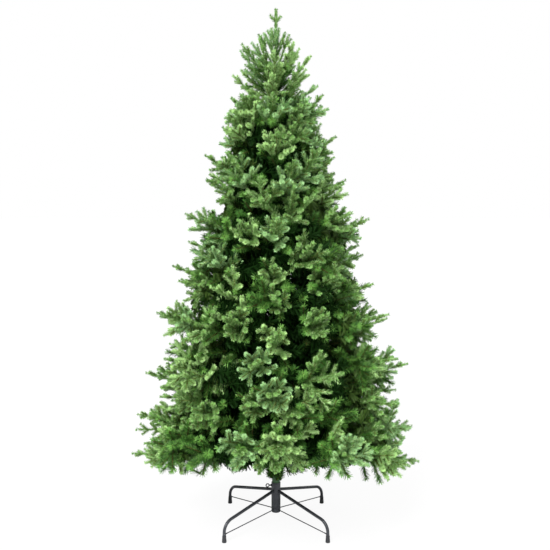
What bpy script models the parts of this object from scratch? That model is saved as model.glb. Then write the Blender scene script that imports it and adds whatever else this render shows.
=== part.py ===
"""Artificial Christmas tree, 2.1 m tall, on a four-legged steel stand. Metres, +Z up, front towards -Y.

The origin is the point of the floor under the pole. The tree is a steel pole in three sections, hinged
boughs on its two lowest tiers, and masses of needle sprays that each keep to a space of their own. A mass is
a stem, twigs that fan out from it by a seeded rule, a smaller dense core, and toothed blades that each stand
for a spray of needles.
"""

import math
import random

import bmesh
import bpy
from mathutils import Matrix, Vector

GAP = 0.0003                  # clearance between pieces that touch
WORLD_UP = Vector((0.0, 0.0, 1.0))

# Outline of the crown: the reach of the tips falls from the skirt to the leader
TREE_HEIGHT = 2.10
SKIRT_HEIGHT = 0.285
SKIRT_REACH = 0.594
CROWN_POWER = 0.70

# Edges between tiers from the ground up: height at the crown's surface, and how steeply the edge and then the
# sprays near it rise away from the pole, in degrees
TIER_EDGES = (
    (0.225, 6.0, -8.0), (0.500, 6.0, 6.0), (0.800, 14.0, 14.0), (1.090, 21.0, 21.0), (1.360, 29.0, 29.0),
    (1.590, 38.0, 38.0), (1.800, 50.0, 50.0),
)
# The skirt is lifted in front, where the stand shows: height of its lower face at the pole and slope towards -Y
FRONT_SKIRT_HEIGHT = 0.174
FRONT_SKIRT_SLOPE = 0.365
TIER_MASSES = (7, 6, 5, 4, 3, 3)
TIER_TURNS = (18.0, 15.0, 9.0, 20.0, 20.0, -20.0)
BOUGH_TIERS = 2               # tiers low enough to have a bare hinged bough before the needles start
CELL_MARGIN = 0.002           # a mass stays this far inside the faces of its space

# Tips that stand out of the crown, as height and reach, on its left and right seen from the front
LEFT_TIPS = (
    (0.295, 0.604), (0.457, 0.580), (0.625, 0.545), (0.883, 0.496), (1.085, 0.424), (1.292, 0.372), (1.524, 0.294),
)
RIGHT_TIPS = (
    (0.265, 0.600), (0.414, 0.573), (0.676, 0.548), (0.875, 0.471), (1.117, 0.362), (1.272, 0.381), (1.604, 0.241),
)
FRONT_TIP = (0.470, 0.600)
# Clusters on the front of the crown, as azimuth in degrees and height
FRONT_CLUSTERS = (
    (-90, 1.63), (-76, 1.49), (-102, 1.43), (-79, 1.39), (-94, 1.34), (-113, 1.27), (-80, 1.26), (-68, 1.19),
    (-97, 1.11), (-54, 1.07), (-91, 1.00), (-64, 0.93), (-116, 0.92), (-99, 0.77), (-101, 0.63), (-81, 0.59),
    (-125, 0.56), (-105, 0.46), (-61, 0.43),
)

# Pole, as radius and top height of each section
POLE_FOOT = 0.0640
POLE_SECTIONS = ((0.0160, 0.780), (0.0140, 1.250), (0.0110, 1.625))
POLE_SIDES = 20
POLE_CHAMFER = 0.003

# Boughs and twigs
BOUGH_LENGTH = 0.165
BOUGH_ROOT_RADIUS = 0.0060
BOUGH_TIP_RADIUS = 0.0045
BOUGH_SIDES = 6
TWIG_RADIUS = 0.0045
TWIG_SIDES = 3

# Sprays
SPRAY_SPACING = 0.170         # between the ends of neighbouring twigs on the crown's surface
SPRAY_LENGTH = 0.215
SPRAY_HALF_WIDTH = 0.072
SPRAY_HALF_THICKNESS = 0.008
SHORT_REACH = 0.90            # the least and the most that a twig reaches, as shares of the crown's reach
LONG_REACH = 1.06
ROW_HEIGHTS = (0.27, 0.73)    # rows of twig ends across a tier
CORE_REACH = 0.85             # how far a core reaches, as a share of the crown's reach
CORE_FILL = 0.93              # how much of its space's width a core takes
# Outline of a core's upright section outside its root: share of the tier's height and share of the core's reach
CORE_SECTION = ((0.04, 0.55), (0.035, 0.93), (0.30, 1.0), (0.70, 1.0), (0.965, 0.93))
LEADER_CORE = (
    (0.0, 1.640), (0.030, 1.672), (0.092, 1.760), (0.086, 1.800), (0.060, 1.870), (0.030, 1.945), (0.0, 2.000),
)

# Sprays of the leader, ring by ring: root height, number, length and rise in degrees
LEADER_FOOT = 1.6253
LEADER_RINGS = (
    (1.655, 7, 0.245, 50.0), (1.720, 6, 0.235, 51.0), (1.785, 6, 0.215, 52.0), (1.850, 5, 0.160, 54.0),
    (1.900, 4, 0.120, 56.0), (1.950, 3, 0.075, 60.0),
)
LEADER_FORK = (0.055, 0.030)  # length and half width of the blade at the very top

# Stand
LEG_COUNT = 4
LEG_FIRST_AZIMUTH = 45.0
FOOT_REACH = 0.2885           # pole axis to the centre of a foot
LEG_RADIUS = 0.00625
LEG_SIDES = 12
LEG_ROOT_HEIGHT = 0.135
LEG_SHOULDER_HEIGHT = 0.085
LEG_BEND_RADIUS = 0.048
LEG_BEND_STEPS = 7
HUB_RADIUS = 0.0190
HUB_BORE_RADIUS = 0.0166
HUB_FOOT = 0.0635
HUB_TOP = 0.1715
HUB_SIDES = 24
END_CAP_FOOT = 0.0435
END_CAP_ROUND = 0.0030
STAY_RADIUS = 0.0020
STAY_SIDES = 8
STAY_HUB_HEIGHT = 0.0550
STAY_LEG_HEIGHT = 0.0325
FOOT_CAP_HEIGHT = 0.0270
FOOT_CAP_TOP_RADIUS = 0.0082
FOOT_CAP_FLOOR_RADIUS = 0.0092
FOOT_CAP_BORE = 0.0067
FOOT_CAP_SOLE = 0.0050
FOOT_CAP_SIDES = 16
SCREW_AZIMUTH = 190.0
SCREW_HEIGHT = 0.159
SCREW_RADIUS = 0.0029
SCREW_HOLE_RADIUS = 0.0033
SCREW_HOLE_AZIMUTH = 270.0
SCREW_EYE_RADIUS = 0.0065
SCREW_WIRE_RADIUS = 0.0022
SCREW_REACH = 0.0290          # pole axis to the middle of the eye's wire nearest the hub

# Needle wrap round the foot of the pole
WRAP_FOOT = 0.1720
WRAP_TOP = 0.2420
WRAP_PROFILE = ((0.0205, 0.0), (0.0270, 0.25), (0.0300, 0.65), (0.0330, 1.0))
WRAP_BORE = 0.0168
WRAP_SIDES = 16
WRAP_NEEDLES = 11

STAND_STEEL = ("stand_steel", (0.032, 0.033, 0.037), 0.38, 0.6)
POLE_PAINT = ("pole_paint", (0.045, 0.090, 0.040), 0.50, 0.3)
FOOT_RUBBER = ("foot_rubber", (0.020, 0.020, 0.022), 0.75, 0.0)
BOUGH_WRAP = ("bough_wrap", (0.110, 0.130, 0.050), 0.80, 0.0)
NEEDLES = ("needles", (0.110, 0.260, 0.075), 0.70, 0.0)


def material(finish):
    """The Principled material of a finish: name, colour, roughness and metallic."""
    name, colour, roughness, metallic = finish
    made = bpy.data.materials.get(name)
    if made is None:
        made = bpy.data.materials.new(name)
        made.use_nodes = True
        shader = made.node_tree.nodes["Principled BSDF"]
        shader.inputs["Base Color"].default_value = (*colour, 1.0)
        shader.inputs["Roughness"].default_value = roughness
        shader.inputs["Metallic"].default_value = metallic
    return made


def keep(mesh_builder, name, finish, smooth=True):
    """Turns a bmesh into a named object with its finish."""
    bmesh.ops.recalc_face_normals(mesh_builder, faces=mesh_builder.faces)
    mesh = bpy.data.meshes.new(name)
    mesh_builder.to_mesh(mesh)
    mesh_builder.free()
    if smooth:
        mesh.shade_smooth()
        mesh.set_sharp_from_angle(angle=math.radians(35.0))
    mesh.materials.append(material(finish))
    made = bpy.data.objects.new(name, mesh)
    bpy.context.scene.collection.objects.link(made)
    return made


def polar(azimuth, radius, height):
    """A point from its azimuth in radians, its distance from the pole's axis and its height."""
    return Vector((radius * math.cos(azimuth), radius * math.sin(azimuth), height))


def loft(rings):
    """A closed skin over rings of points, with a face over the first ring and over the last."""
    skin = bmesh.new()
    loops = []
    for ring in rings:
        points = [skin.verts.new(point) for point in ring]
        loops.append([skin.edges.new((a, b)) for a, b in zip(points, points[1:] + points[:1])])
    for near, far in zip(loops, loops[1:]):
        bmesh.ops.bridge_loops(skin, edges=near + far)
    for ends in (loops[0], loops[-1]):
        bmesh.ops.contextual_create(skin, geom=ends)
    return skin


def ring_round(centre, side, up, radius, sides):
    """A ring of points about a centre, in the plane of two directions."""
    turns = (math.tau * step / sides for step in range(sides))
    return [centre + (side * math.cos(turn) + up * math.sin(turn)) * radius for turn in turns]


def rod(path, radii, sides):
    """A round rod along a path of points that lies in one upright plane, with a radius at each."""
    side = (path[-1] - path[0]).cross(WORLD_UP)
    side = side.normalized() if side.length > 1e-6 else Vector((1.0, 0.0, 0.0))
    rings = []
    for index, (point, radius) in enumerate(zip(path, radii)):
        along = (path[min(index + 1, len(path) - 1)] - path[max(index - 1, 0)]).normalized()
        rings.append(ring_round(point, side, side.cross(along), radius, sides))
    return loft(rings)


def turned(profile, sides):
    """A profile of (radius, height) points turned about the pole's axis. A closed profile makes a ring."""
    skin = bmesh.new()
    points = [skin.verts.new((radius, 0.0, height)) for radius, height in profile]
    on_axis = profile[0][0] == 0.0 and profile[-1][0] == 0.0
    ends = zip(points, points[1:]) if on_axis else zip(points, points[1:] + points[:1])
    edges = [skin.edges.new(pair) for pair in ends]
    bmesh.ops.spin(
        skin, geom=points + edges, cent=(0, 0, 0), axis=(0, 0, 1), angle=math.tau, steps=sides, use_merge=True,
    )
    bmesh.ops.remove_doubles(skin, verts=skin.verts, dist=1e-6)
    return skin


def cut(target, cutter):
    """Cuts one object out of another and removes the cutter."""
    modifier = target.modifiers.new("cut", "BOOLEAN")
    modifier.operation = "DIFFERENCE"
    modifier.solver = "EXACT"
    modifier.object = cutter
    apply_modifiers(target)
    bpy.data.objects.remove(cutter)


def apply_modifiers(target):
    """Replaces an object's mesh by what its modifiers make of it."""
    graph = bpy.context.evaluated_depsgraph_get()
    made = bpy.data.meshes.new_from_object(target.evaluated_get(graph))
    target.modifiers.clear()
    target.data = made


def reach_at(height):
    """How far the tips reach from the pole's axis at a height."""
    share = (TREE_HEIGHT - height) / (TREE_HEIGHT - SKIRT_HEIGHT)
    return SKIRT_REACH * min(max(share, 0.0), 1.0) ** CROWN_POWER


def pole_radius_at(height):
    """Radius of the pole's section at a height."""
    return next((radius for radius, top in POLE_SECTIONS if height <= top), POLE_SECTIONS[-1][0])


class Space:
    """The room that one mass keeps to: a wedge about the pole, between the edges of its tier."""

    def __init__(self, tier, sector):
        count = TIER_MASSES[tier]
        self.tier = tier
        self.half_angle = math.pi / count
        self.azimuth = math.radians(TIER_TURNS[tier]) + math.tau * sector / count
        self.out = polar(self.azimuth, 1.0, 0.0)
        self.across = polar(self.azimuth + math.pi / 2, 1.0, 0.0)
        self.lower = self.edge(tier)
        self.upper = self.edge(tier + 1)

    @staticmethod
    def edge(index):
        """Height at the pole and slope of the edge below tier number index."""
        outer_height, rise, _ = TIER_EDGES[index]
        slope = math.tan(math.radians(rise))
        return outer_height - slope * reach_at(outer_height), slope

    def floor(self, point):
        """Height of the lower face of the space under or over a point."""
        height = self.lower[0] + self.lower[1] * math.hypot(point.x, point.y)
        return max(height, FRONT_SKIRT_HEIGHT - FRONT_SKIRT_SLOPE * point.y) if self.tier == 0 else height

    def ceiling(self, point):
        """Height of the upper face of the space under or over a point."""
        return self.upper[0] + self.upper[1] * math.hypot(point.x, point.y)

    def point(self, share, radius, turn=0.0):
        """A point of the space: share of the tier's height, distance from the pole and turn from the middle."""
        point = polar(self.azimuth + turn, radius, 0.0)
        low, high = self.floor(point), self.ceiling(point)
        point.z = low + (high - low) * share
        return point

    def surface(self, share, turn=0.0):
        """The reach of the crown's surface, a share of the way up the tier."""
        radius = reach_at(TIER_EDGES[self.tier][0])
        for _ in range(6):
            radius = (radius + reach_at(self.point(share, radius, turn).z)) / 2
        return radius

    def holds(self, point):
        """Whether a point lies inside the space."""
        forward, sideways = point.dot(self.out), point.dot(self.across)
        beside = forward * math.sin(self.half_angle) - abs(sideways) * math.cos(self.half_angle)
        room = (beside, self.ceiling(point) - point.z, point.z - self.floor(point))
        return forward > 0.0 and min(room) > CELL_MARGIN

    def rise(self, share):
        """How steeply the sprays rise that lie a share of the way up the tier, in radians."""
        low, high = (TIER_EDGES[index][2] for index in (self.tier, self.tier + 1))
        return math.radians(low + (high - low) * share)

    def share_at(self, point):
        """How far up the tier a point lies, as a share of the tier's height there."""
        low = self.floor(point)
        return (point.z - low) / (self.ceiling(point) - low)

    def aims(self, draw):
        """Where the twigs of this mass end: two staggered rows, the nearest of them moved to the named tips."""
        columns = max(2, round(2.0 * self.half_angle * self.surface(0.5) / SPRAY_SPACING))
        found = []
        for row, share in enumerate(ROW_HEIGHTS):
            for column in range(columns):
                turn = ((column + (0.32, 0.68)[row]) / columns * 2.0 - 1.0) * self.half_angle
                turn += draw.uniform(-0.06, 0.06) / columns
                high = share + draw.uniform(-0.05, 0.05)
                reach = self.surface(high, turn) * draw.uniform(SHORT_REACH, LONG_REACH)
                found.append(self.point(high, reach, turn))
        for tip in named_tips():
            if self.holds(tip):
                nearest = min(range(len(found)), key=lambda index: (found[index] - tip).length)
                found[nearest] = tip
        return found


def named_tips():
    """The tips and clusters that have a place of their own. The sides' tips are used again front and back."""
    tips = [polar(math.radians(turn), reach_at(height), height) for turn, height in FRONT_CLUSTERS]
    for turn, side in ((0, RIGHT_TIPS), (90, LEFT_TIPS), (180, LEFT_TIPS), (270, (FRONT_TIP, *RIGHT_TIPS[2:]))):
        tips += [polar(math.radians(turn), reach, height) for height, reach in side]
    return tips


def spray_blade(length, half_width):
    """A toothed blade for a spray of needles: two pairs of side sprigs and a leading one, thick at the spine."""
    stations = (0.0, 0.40, 0.70)
    tooth_tips = ((0.65, 1.0), (0.88, 0.58))
    root_half_width = 0.20 * half_width
    skin = bmesh.new()
    spines = []
    for face in (1.0, -1.0):
        spines.append([skin.verts.new((x * length, 0.0, face * SPRAY_HALF_THICKNESS)) for x in stations])
    tip = skin.verts.new((length, 0.0, 0.0))
    for side in (1.0, -1.0):
        notches = [skin.verts.new((x * length, side * root_half_width, 0.0)) for x in stations]
        teeth = [skin.verts.new((x * length, side * half_width * out, 0.0)) for x, out in tooth_tips]
        outline = [notches[0], notches[1], teeth[0], notches[2], teeth[1], tip]
        for spine in spines:
            fans = (
                (spine[0], outline[0], outline[1]), (spine[0], outline[1], spine[1]),
                (spine[1], outline[1], outline[2]), (spine[1], outline[2], outline[3]),
                (spine[1], outline[3], spine[2]), (spine[2], outline[3], outline[4]),
                (spine[2], outline[4], tip),
            )
            for corners in fans:
                skin.faces.new(corners)
        skin.faces.new((spines[0][0], notches[0], spines[1][0]))
    return skin


def placed(skin, root, along, up):
    """Moves a blade so that it starts at root, runs along a direction, and has its face towards up."""
    side = up.cross(along).normalized()
    face = along.cross(side).normalized()
    turn = Matrix((along, side, face)).transposed().to_4x4()
    bmesh.ops.transform(skin, matrix=Matrix.Translation(root) @ turn, verts=skin.verts)
    return skin


def fitted_blade(holds, root, along, up, length):
    """A blade narrowed until its corners and the middles of its edges all lie in a space, or None."""
    for narrow in (1.0, 0.8, 0.6, 0.4, 0.25):
        skin = placed(spray_blade(length, SPRAY_HALF_WIDTH * narrow * length / SPRAY_LENGTH), root, along, up)
        middles = [(edge.verts[0].co + edge.verts[1].co) / 2 for edge in skin.edges]
        if all(holds(point) for point in [corner.co for corner in skin.verts] + middles):
            return skin
        skin.free()
    return None


def joined(name, skins, finish):
    """One solid from several closed skins that overlap."""
    pieces = [keep(skin, f"{name}_{index}", finish, smooth=False) for index, skin in enumerate(skins)]
    whole, rest = pieces[0], bpy.data.collections.new(f"{name}_rest")
    whole.name = name
    for piece in pieces[1:]:
        rest.objects.link(piece)
    modifier = whole.modifiers.new("join", "BOOLEAN")
    modifier.operation = "UNION"
    modifier.solver = "EXACT"
    modifier.operand_type = "COLLECTION"
    modifier.collection = rest
    apply_modifiers(whole)
    for piece in pieces[1:]:
        bpy.data.objects.remove(piece)
    bpy.data.collections.remove(rest)
    keep_main_shell(whole)
    return whole


def keep_main_shell(target):
    """Fills sealed hollows and drops loose scraps: only the shell with the most corners stays."""
    skin = bmesh.new()
    skin.from_mesh(target.data)
    waiting = set(skin.verts)
    shells = []
    while waiting:
        edge_of_search = [waiting.pop()]
        shell = list(edge_of_search)
        while edge_of_search:
            corner = edge_of_search.pop()
            for edge in corner.link_edges:
                other = edge.other_vert(corner)
                if other in waiting:
                    waiting.remove(other)
                    shell.append(other)
                    edge_of_search.append(other)
        shells.append(shell)
    shells.sort(key=len)
    for shell in shells[:-1]:
        bmesh.ops.delete(skin, geom=shell, context="VERTS")
    skin.to_mesh(target.data)
    skin.free()


def mass_core(space, start, draw):
    """The dense heart of a mass: upright sections side by side that follow the faces of its space."""
    rings = []
    for turn_share in (-1.0, -0.5, 0.0, 0.5, 1.0):
        turn = turn_share * CORE_FILL * space.half_angle
        ring = [space.point(0.25, start, turn)]
        for share, reach in CORE_SECTION:
            lump = draw.uniform(0.92, 1.04) * (1.0 - 0.05 * abs(turn_share))
            ring.append(space.point(share, reach * CORE_REACH * space.surface(share, turn) * lump, turn))
        ring.append(space.point(0.75, start, turn))
        rings.append(ring)
    return loft(rings)


def mass_of_sprays(tier, sector):
    """One mass of needle sprays, and the bough that carries it where its tier has one."""
    name = f"foliage_{tier + 1}_{'abcdefg'[sector]}"
    space = Space(tier, sector)
    draw = random.Random(61 * (tier + 1) + sector)
    outer = space.surface(0.5)
    root_radius = BOUGH_ROOT_RADIUS if tier < BOUGH_TIERS else BOUGH_TIP_RADIUS
    slope = math.atan((space.point(0.5, BOUGH_LENGTH).z - space.point(0.5, 0.0).z) / BOUGH_LENGTH)
    trunk = pole_radius_at(space.point(0.5, 0.0).z) + GAP + root_radius * abs(math.sin(slope))
    start = trunk
    if tier < BOUGH_TIERS:
        start = BOUGH_LENGTH
        bough = [space.point(0.5, radius) for radius in (trunk, (trunk + start) / 2, start - GAP)]
        radii = (BOUGH_ROOT_RADIUS, (BOUGH_ROOT_RADIUS + BOUGH_TIP_RADIUS) / 2, BOUGH_TIP_RADIUS)
        keep(rod(bough, radii, BOUGH_SIDES), name.replace("foliage", "bough"), BOUGH_WRAP)
    stem = [space.point(0.5, radius) for radius in (start, (start + outer) / 2, outer * 0.66)]
    skins = [rod(stem, (BOUGH_TIP_RADIUS, BOUGH_TIP_RADIUS, TWIG_RADIUS), BOUGH_SIDES)]
    skins.append(mass_core(space, start + 0.022, draw))
    for index, aim in enumerate(space.aims(draw)):
        share = space.share_at(aim)
        azimuth = math.atan2(aim.y, aim.x) + draw.uniform(-0.12, 0.12)
        rise = space.rise(share) + draw.uniform(-0.10, 0.10)
        along = polar(azimuth, math.cos(rise), math.sin(rise))
        up = Matrix.Rotation(draw.uniform(-1.0, 1.0), 3, along) @ WORLD_UP
        length = SPRAY_LENGTH * draw.uniform(0.92, 1.08) * min(1.0, outer / 0.26)
        fork = space.point(0.5, outer * draw.uniform(0.34, 0.46))
        blade = fitted_blade(space.holds, aim - along * length, along, up, length)
        if blade is None:
            along = (aim - fork).normalized()
            blade = fitted_blade(space.holds, aim - along * length, along, WORLD_UP, length)
        if blade is None:
            continue
        skins += [blade, rod([fork, aim - along * length * 0.7], (TWIG_RADIUS, TWIG_RADIUS * 0.8), TWIG_SIDES)]
        if index % 3 == 0:
            lean = math.copysign(1.0, 0.5 - share) * draw.uniform(0.1, 0.5)
            aside = polar(azimuth + math.pi / 2, math.copysign(draw.uniform(0.6, 1.0), draw.uniform(-1.0, 1.0)), 0.0)
            away = (along - WORLD_UP * lean + aside).normalized()
            second = fitted_blade(space.holds, aim - along * length * 0.72, away, up, length * 0.8)
            if second is not None:
                skins.append(second)
    joined(name, skins, NEEDLES)


def leader():
    """The top of the tree: an upright stem with rings of rising sprays and a forked tip."""
    draw = random.Random(7)
    foot = Vector((0.0, 0.0, LEADER_FOOT))
    tip = Vector((0.0, 0.0, TREE_HEIGHT))
    fork_length, fork_half_width = LEADER_FORK
    skins = [rod([foot, (foot + tip) / 2, tip - WORLD_UP * fork_length * 0.6], (0.006, 0.009, 0.007), BOUGH_SIDES)]
    skins.append(turned(LEADER_CORE, 9))
    fork = spray_blade(fork_length, fork_half_width)
    skins.append(placed(fork, tip - WORLD_UP * fork_length, WORLD_UP, Vector((0.05, -1.0, 0.0))))
    floor_at_pole, floor_slope = Space.edge(len(TIER_MASSES))

    def holds(point):
        return point.z - floor_at_pole - floor_slope * math.hypot(point.x, point.y) > CELL_MARGIN

    for ring, (root_height, count, length, rise) in enumerate(LEADER_RINGS):
        for step in range(count):
            azimuth = math.tau * (step + 0.5 * (ring % 2)) / count + draw.uniform(-0.10, 0.10)
            slope = math.radians(rise + draw.uniform(-3.0, 3.0))
            along = polar(azimuth, math.cos(slope), math.sin(slope))
            up = Matrix.Rotation(draw.uniform(-0.8, 0.8), 3, along) @ polar(azimuth + math.pi, 1.0, 0.6)
            blade = fitted_blade(
                holds, polar(azimuth, 0.001, root_height), along, up, length * draw.uniform(0.93, 1.07),
            )
            if blade is not None:
                skins.append(blade)
    joined("foliage_top", skins, NEEDLES)


def pole():
    """The steel pole: three sections, each with a chamfered shoulder where the next one enters it."""
    profile = [(0.0, POLE_FOOT)]
    foot = POLE_FOOT
    for radius, top in POLE_SECTIONS:
        profile += [(radius, foot), (radius, top - POLE_CHAMFER)]
        foot = top
    profile.append((POLE_SECTIONS[-1][0] - POLE_CHAMFER, foot))
    profile.append((0.0, foot))
    keep(turned(profile, POLE_SIDES), "pole", POLE_PAINT)


def pole_wrap():
    """The sleeve of needles round the foot of the pole, above the stand."""
    height = WRAP_TOP - WRAP_FOOT
    profile = [(WRAP_BORE, WRAP_FOOT)]
    profile += [(radius, WRAP_FOOT + share * height) for radius, share in WRAP_PROFILE]
    profile.append((WRAP_BORE, WRAP_TOP))
    skins = [turned(profile, WRAP_SIDES)]
    draw = random.Random(3)
    for step in range(WRAP_NEEDLES):
        azimuth = math.tau * step / WRAP_NEEDLES
        share = draw.uniform(0.25, 0.70)
        root = polar(azimuth, 0.0215, WRAP_FOOT + share * height)
        along = polar(azimuth, 0.75, draw.uniform(-0.45, 0.35)).normalized()
        skins.append(rod([root, root + along * 0.021], (0.0040, 0.0008), 4))
    joined("pole_wrap", skins, NEEDLES)


def leg_path(azimuth):
    """The centre line of a leg: out of the hub, down a slope, round the bend and straight to the floor."""
    drop = LEG_ROOT_HEIGHT - LEG_SHOULDER_HEIGHT
    slope = math.atan2(drop, FOOT_REACH - LEG_BEND_RADIUS - HUB_RADIUS)
    centre_radius = FOOT_REACH - LEG_BEND_RADIUS
    turn_start = math.pi / 2 - slope
    centre_height = LEG_SHOULDER_HEIGHT - LEG_BEND_RADIUS * math.sin(turn_start)
    points = [(HUB_RADIUS + GAP + LEG_RADIUS * math.sin(slope), LEG_ROOT_HEIGHT)]
    for step in range(LEG_BEND_STEPS + 1):
        turn = turn_start * (1.0 - step / LEG_BEND_STEPS)
        points.append((
            centre_radius + LEG_BEND_RADIUS * math.cos(turn), centre_height + LEG_BEND_RADIUS * math.sin(turn),
        ))
    points.append((FOOT_REACH, FOOT_CAP_SOLE + GAP))
    return [polar(azimuth, radius, height) for radius, height in points]


def stand():
    """Hub, end cap, legs, stays, foot caps and clamp screw."""
    hub = keep(turned((
        (HUB_BORE_RADIUS, HUB_FOOT), (HUB_RADIUS, HUB_FOOT), (HUB_RADIUS, HUB_TOP), (HUB_BORE_RADIUS, HUB_TOP),
    ), HUB_SIDES), "stand_hub", STAND_STEEL)
    for azimuth in (math.radians(SCREW_AZIMUTH), math.radians(SCREW_HOLE_AZIMUTH)):
        ends = [polar(azimuth, radius, SCREW_HEIGHT) for radius in (HUB_BORE_RADIUS - 0.004, HUB_RADIUS + 0.004)]
        cutter = keep(rod(ends, (SCREW_HOLE_RADIUS,) * 2, LEG_SIDES), "screw_hole", STAND_STEEL)
        cutter.hide_render = True
        cutter.display_type = "WIRE"
        cut(hub, cutter)
    keep(turned((
        (0.0, END_CAP_FOOT), (HUB_RADIUS - END_CAP_ROUND, END_CAP_FOOT),
        (HUB_RADIUS - END_CAP_ROUND * 0.3, END_CAP_FOOT + END_CAP_ROUND * 0.3),
        (HUB_RADIUS, END_CAP_FOOT + END_CAP_ROUND), (HUB_RADIUS, HUB_FOOT - GAP), (0.0, HUB_FOOT - GAP),
    ), HUB_SIDES), "stand_end_cap", STAND_STEEL)
    for index in range(LEG_COUNT):
        azimuth = math.radians(LEG_FIRST_AZIMUTH) + math.tau * index / LEG_COUNT
        path = leg_path(azimuth)
        keep(rod(path, (LEG_RADIUS,) * len(path), LEG_SIDES), f"leg_{index + 1}", STAND_STEEL)
        stay = [
            polar(azimuth, HUB_RADIUS + GAP, STAY_HUB_HEIGHT),
            polar(azimuth, FOOT_REACH - LEG_RADIUS - GAP, STAY_LEG_HEIGHT),
        ]
        keep(rod(stay, (STAY_RADIUS,) * 2, STAY_SIDES), f"stay_{index + 1}", STAND_STEEL)
        cap = turned((
            (0.0, 0.0), (FOOT_CAP_FLOOR_RADIUS, 0.0), (FOOT_CAP_TOP_RADIUS, FOOT_CAP_HEIGHT),
            (FOOT_CAP_BORE, FOOT_CAP_HEIGHT), (FOOT_CAP_BORE, FOOT_CAP_SOLE), (0.0, FOOT_CAP_SOLE),
        ), FOOT_CAP_SIDES)
        bmesh.ops.translate(cap, verts=cap.verts, vec=polar(azimuth, FOOT_REACH, 0.0))
        keep(cap, f"foot_cap_{index + 1}", FOOT_RUBBER)
    clamp_screw()


def clamp_screw():
    """The eye screw that clamps the pole in the hub: a shank with a ring of wire on its end."""
    azimuth = math.radians(SCREW_AZIMUTH)
    along = polar(azimuth, 1.0, 0.0)
    shank_ends = [polar(azimuth, radius, SCREW_HEIGHT) for radius in (POLE_SECTIONS[0][0] + GAP, SCREW_REACH)]
    eye_centre = polar(azimuth, SCREW_REACH + SCREW_EYE_RADIUS, SCREW_HEIGHT)
    eye = bmesh.new()
    wire = [
        eye.verts.new(point)
        for point in ring_round(Vector((SCREW_EYE_RADIUS, 0, 0)), Vector((1, 0, 0)), WORLD_UP, SCREW_WIRE_RADIUS, 6)
    ]
    edges = [eye.edges.new(pair) for pair in zip(wire, wire[1:] + wire[:1])]
    bmesh.ops.spin(
        eye, geom=wire + edges, cent=(0, 0, 0), axis=(0, 0, 1), angle=math.tau, steps=12, use_merge=True,
    )
    bmesh.ops.remove_doubles(eye, verts=eye.verts, dist=1e-6)
    placed(eye, eye_centre, along, along.cross(WORLD_UP).normalized())
    joined("clamp_screw", [rod(shank_ends, (SCREW_RADIUS,) * 2, 10), eye], STAND_STEEL)


def main():
    """Clears the scene and builds the tree from the floor up."""
    for old in list(bpy.data.objects):
        bpy.data.objects.remove(old)
    stand()
    pole()
    pole_wrap()
    for tier, count in enumerate(TIER_MASSES):
        for sector in range(count):
            mass_of_sprays(tier, sector)
    leader()


main()
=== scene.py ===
"""Dressed scene of an artificial Christmas tree on its steel stand. Metres, +Z up, front towards -Y.

The stand, the pole and the limbs are modelled piece by piece. The crown follows the rule of its solids: tiers of
masses, each with a stem, twigs that end at the same places, and sprays of needles carried on to finer sprigs.
Fresh flat sprays sit at the ends of the twigs, and darker round tips fill the room between and behind them; those
behind, and the needles deep inside, are darkened as painted shade.
"""

import logging
import math
import random
from dataclasses import dataclass, field
from enum import Enum

import bmesh
import bpy
import numpy as np
from mathutils import Matrix, Vector


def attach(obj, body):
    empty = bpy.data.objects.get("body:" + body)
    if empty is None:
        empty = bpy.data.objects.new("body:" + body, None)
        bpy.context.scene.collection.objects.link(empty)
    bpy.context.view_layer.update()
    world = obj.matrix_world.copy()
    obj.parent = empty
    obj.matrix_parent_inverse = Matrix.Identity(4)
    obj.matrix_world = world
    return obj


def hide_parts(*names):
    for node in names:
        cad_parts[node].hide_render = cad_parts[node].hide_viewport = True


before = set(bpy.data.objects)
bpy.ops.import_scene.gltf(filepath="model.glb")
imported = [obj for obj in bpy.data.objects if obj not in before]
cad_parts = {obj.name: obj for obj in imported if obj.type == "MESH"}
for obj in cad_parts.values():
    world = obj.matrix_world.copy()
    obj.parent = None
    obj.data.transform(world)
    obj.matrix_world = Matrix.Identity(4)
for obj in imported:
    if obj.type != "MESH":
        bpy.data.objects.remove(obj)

LOG = logging.getLogger("tree")
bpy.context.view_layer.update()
WORLD_UP = Vector((0.0, 0.0, 1.0))
BODY = "root"
ORIGIN = Vector()
FRONT = Vector((0.0, -1.0, 0.0))
SECTORS = "abcdefg"
WHITE = (1.0, 1.0, 1.0, 1.0)
NOISE_DETAIL = 2.0
BUMP_DEPTH = 0.0004
MERGE_DISTANCE = 1e-6


class Tint(Enum):
    """The plain colours that needles and their stems come in, in the order of a crown piece's material slots. The
    shade tint, the near-black deep tint and, in part, the darker core tints are painted shade.
    """

    FRESH_TIP = 0
    FRESH = 1
    FRESH_COOL = 2
    FRESH_SHADE = 3
    FRESH_CORE = 4
    DARK_TIP = 5
    DARK = 6
    DARK_CORE = 7
    DEEP = 8
    BARK = 9
    WIRE = 10


Section = list[bmesh.types.BMVert | bmesh.types.BMEdge]
Pairs = tuple[tuple[float, float], ...]


def filled(node: bpy.types.Node, values: dict[str | int, float | tuple[float, ...]]) -> bpy.types.Node:
    """Sets fixed inputs of a shader node.

    Args:
        node: The node.
        values: What goes into which input, by the input's name or number.

    Returns:
        The node.
    """
    for name, value in values.items():
        node.inputs[name].default_value = value
    return node


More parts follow.
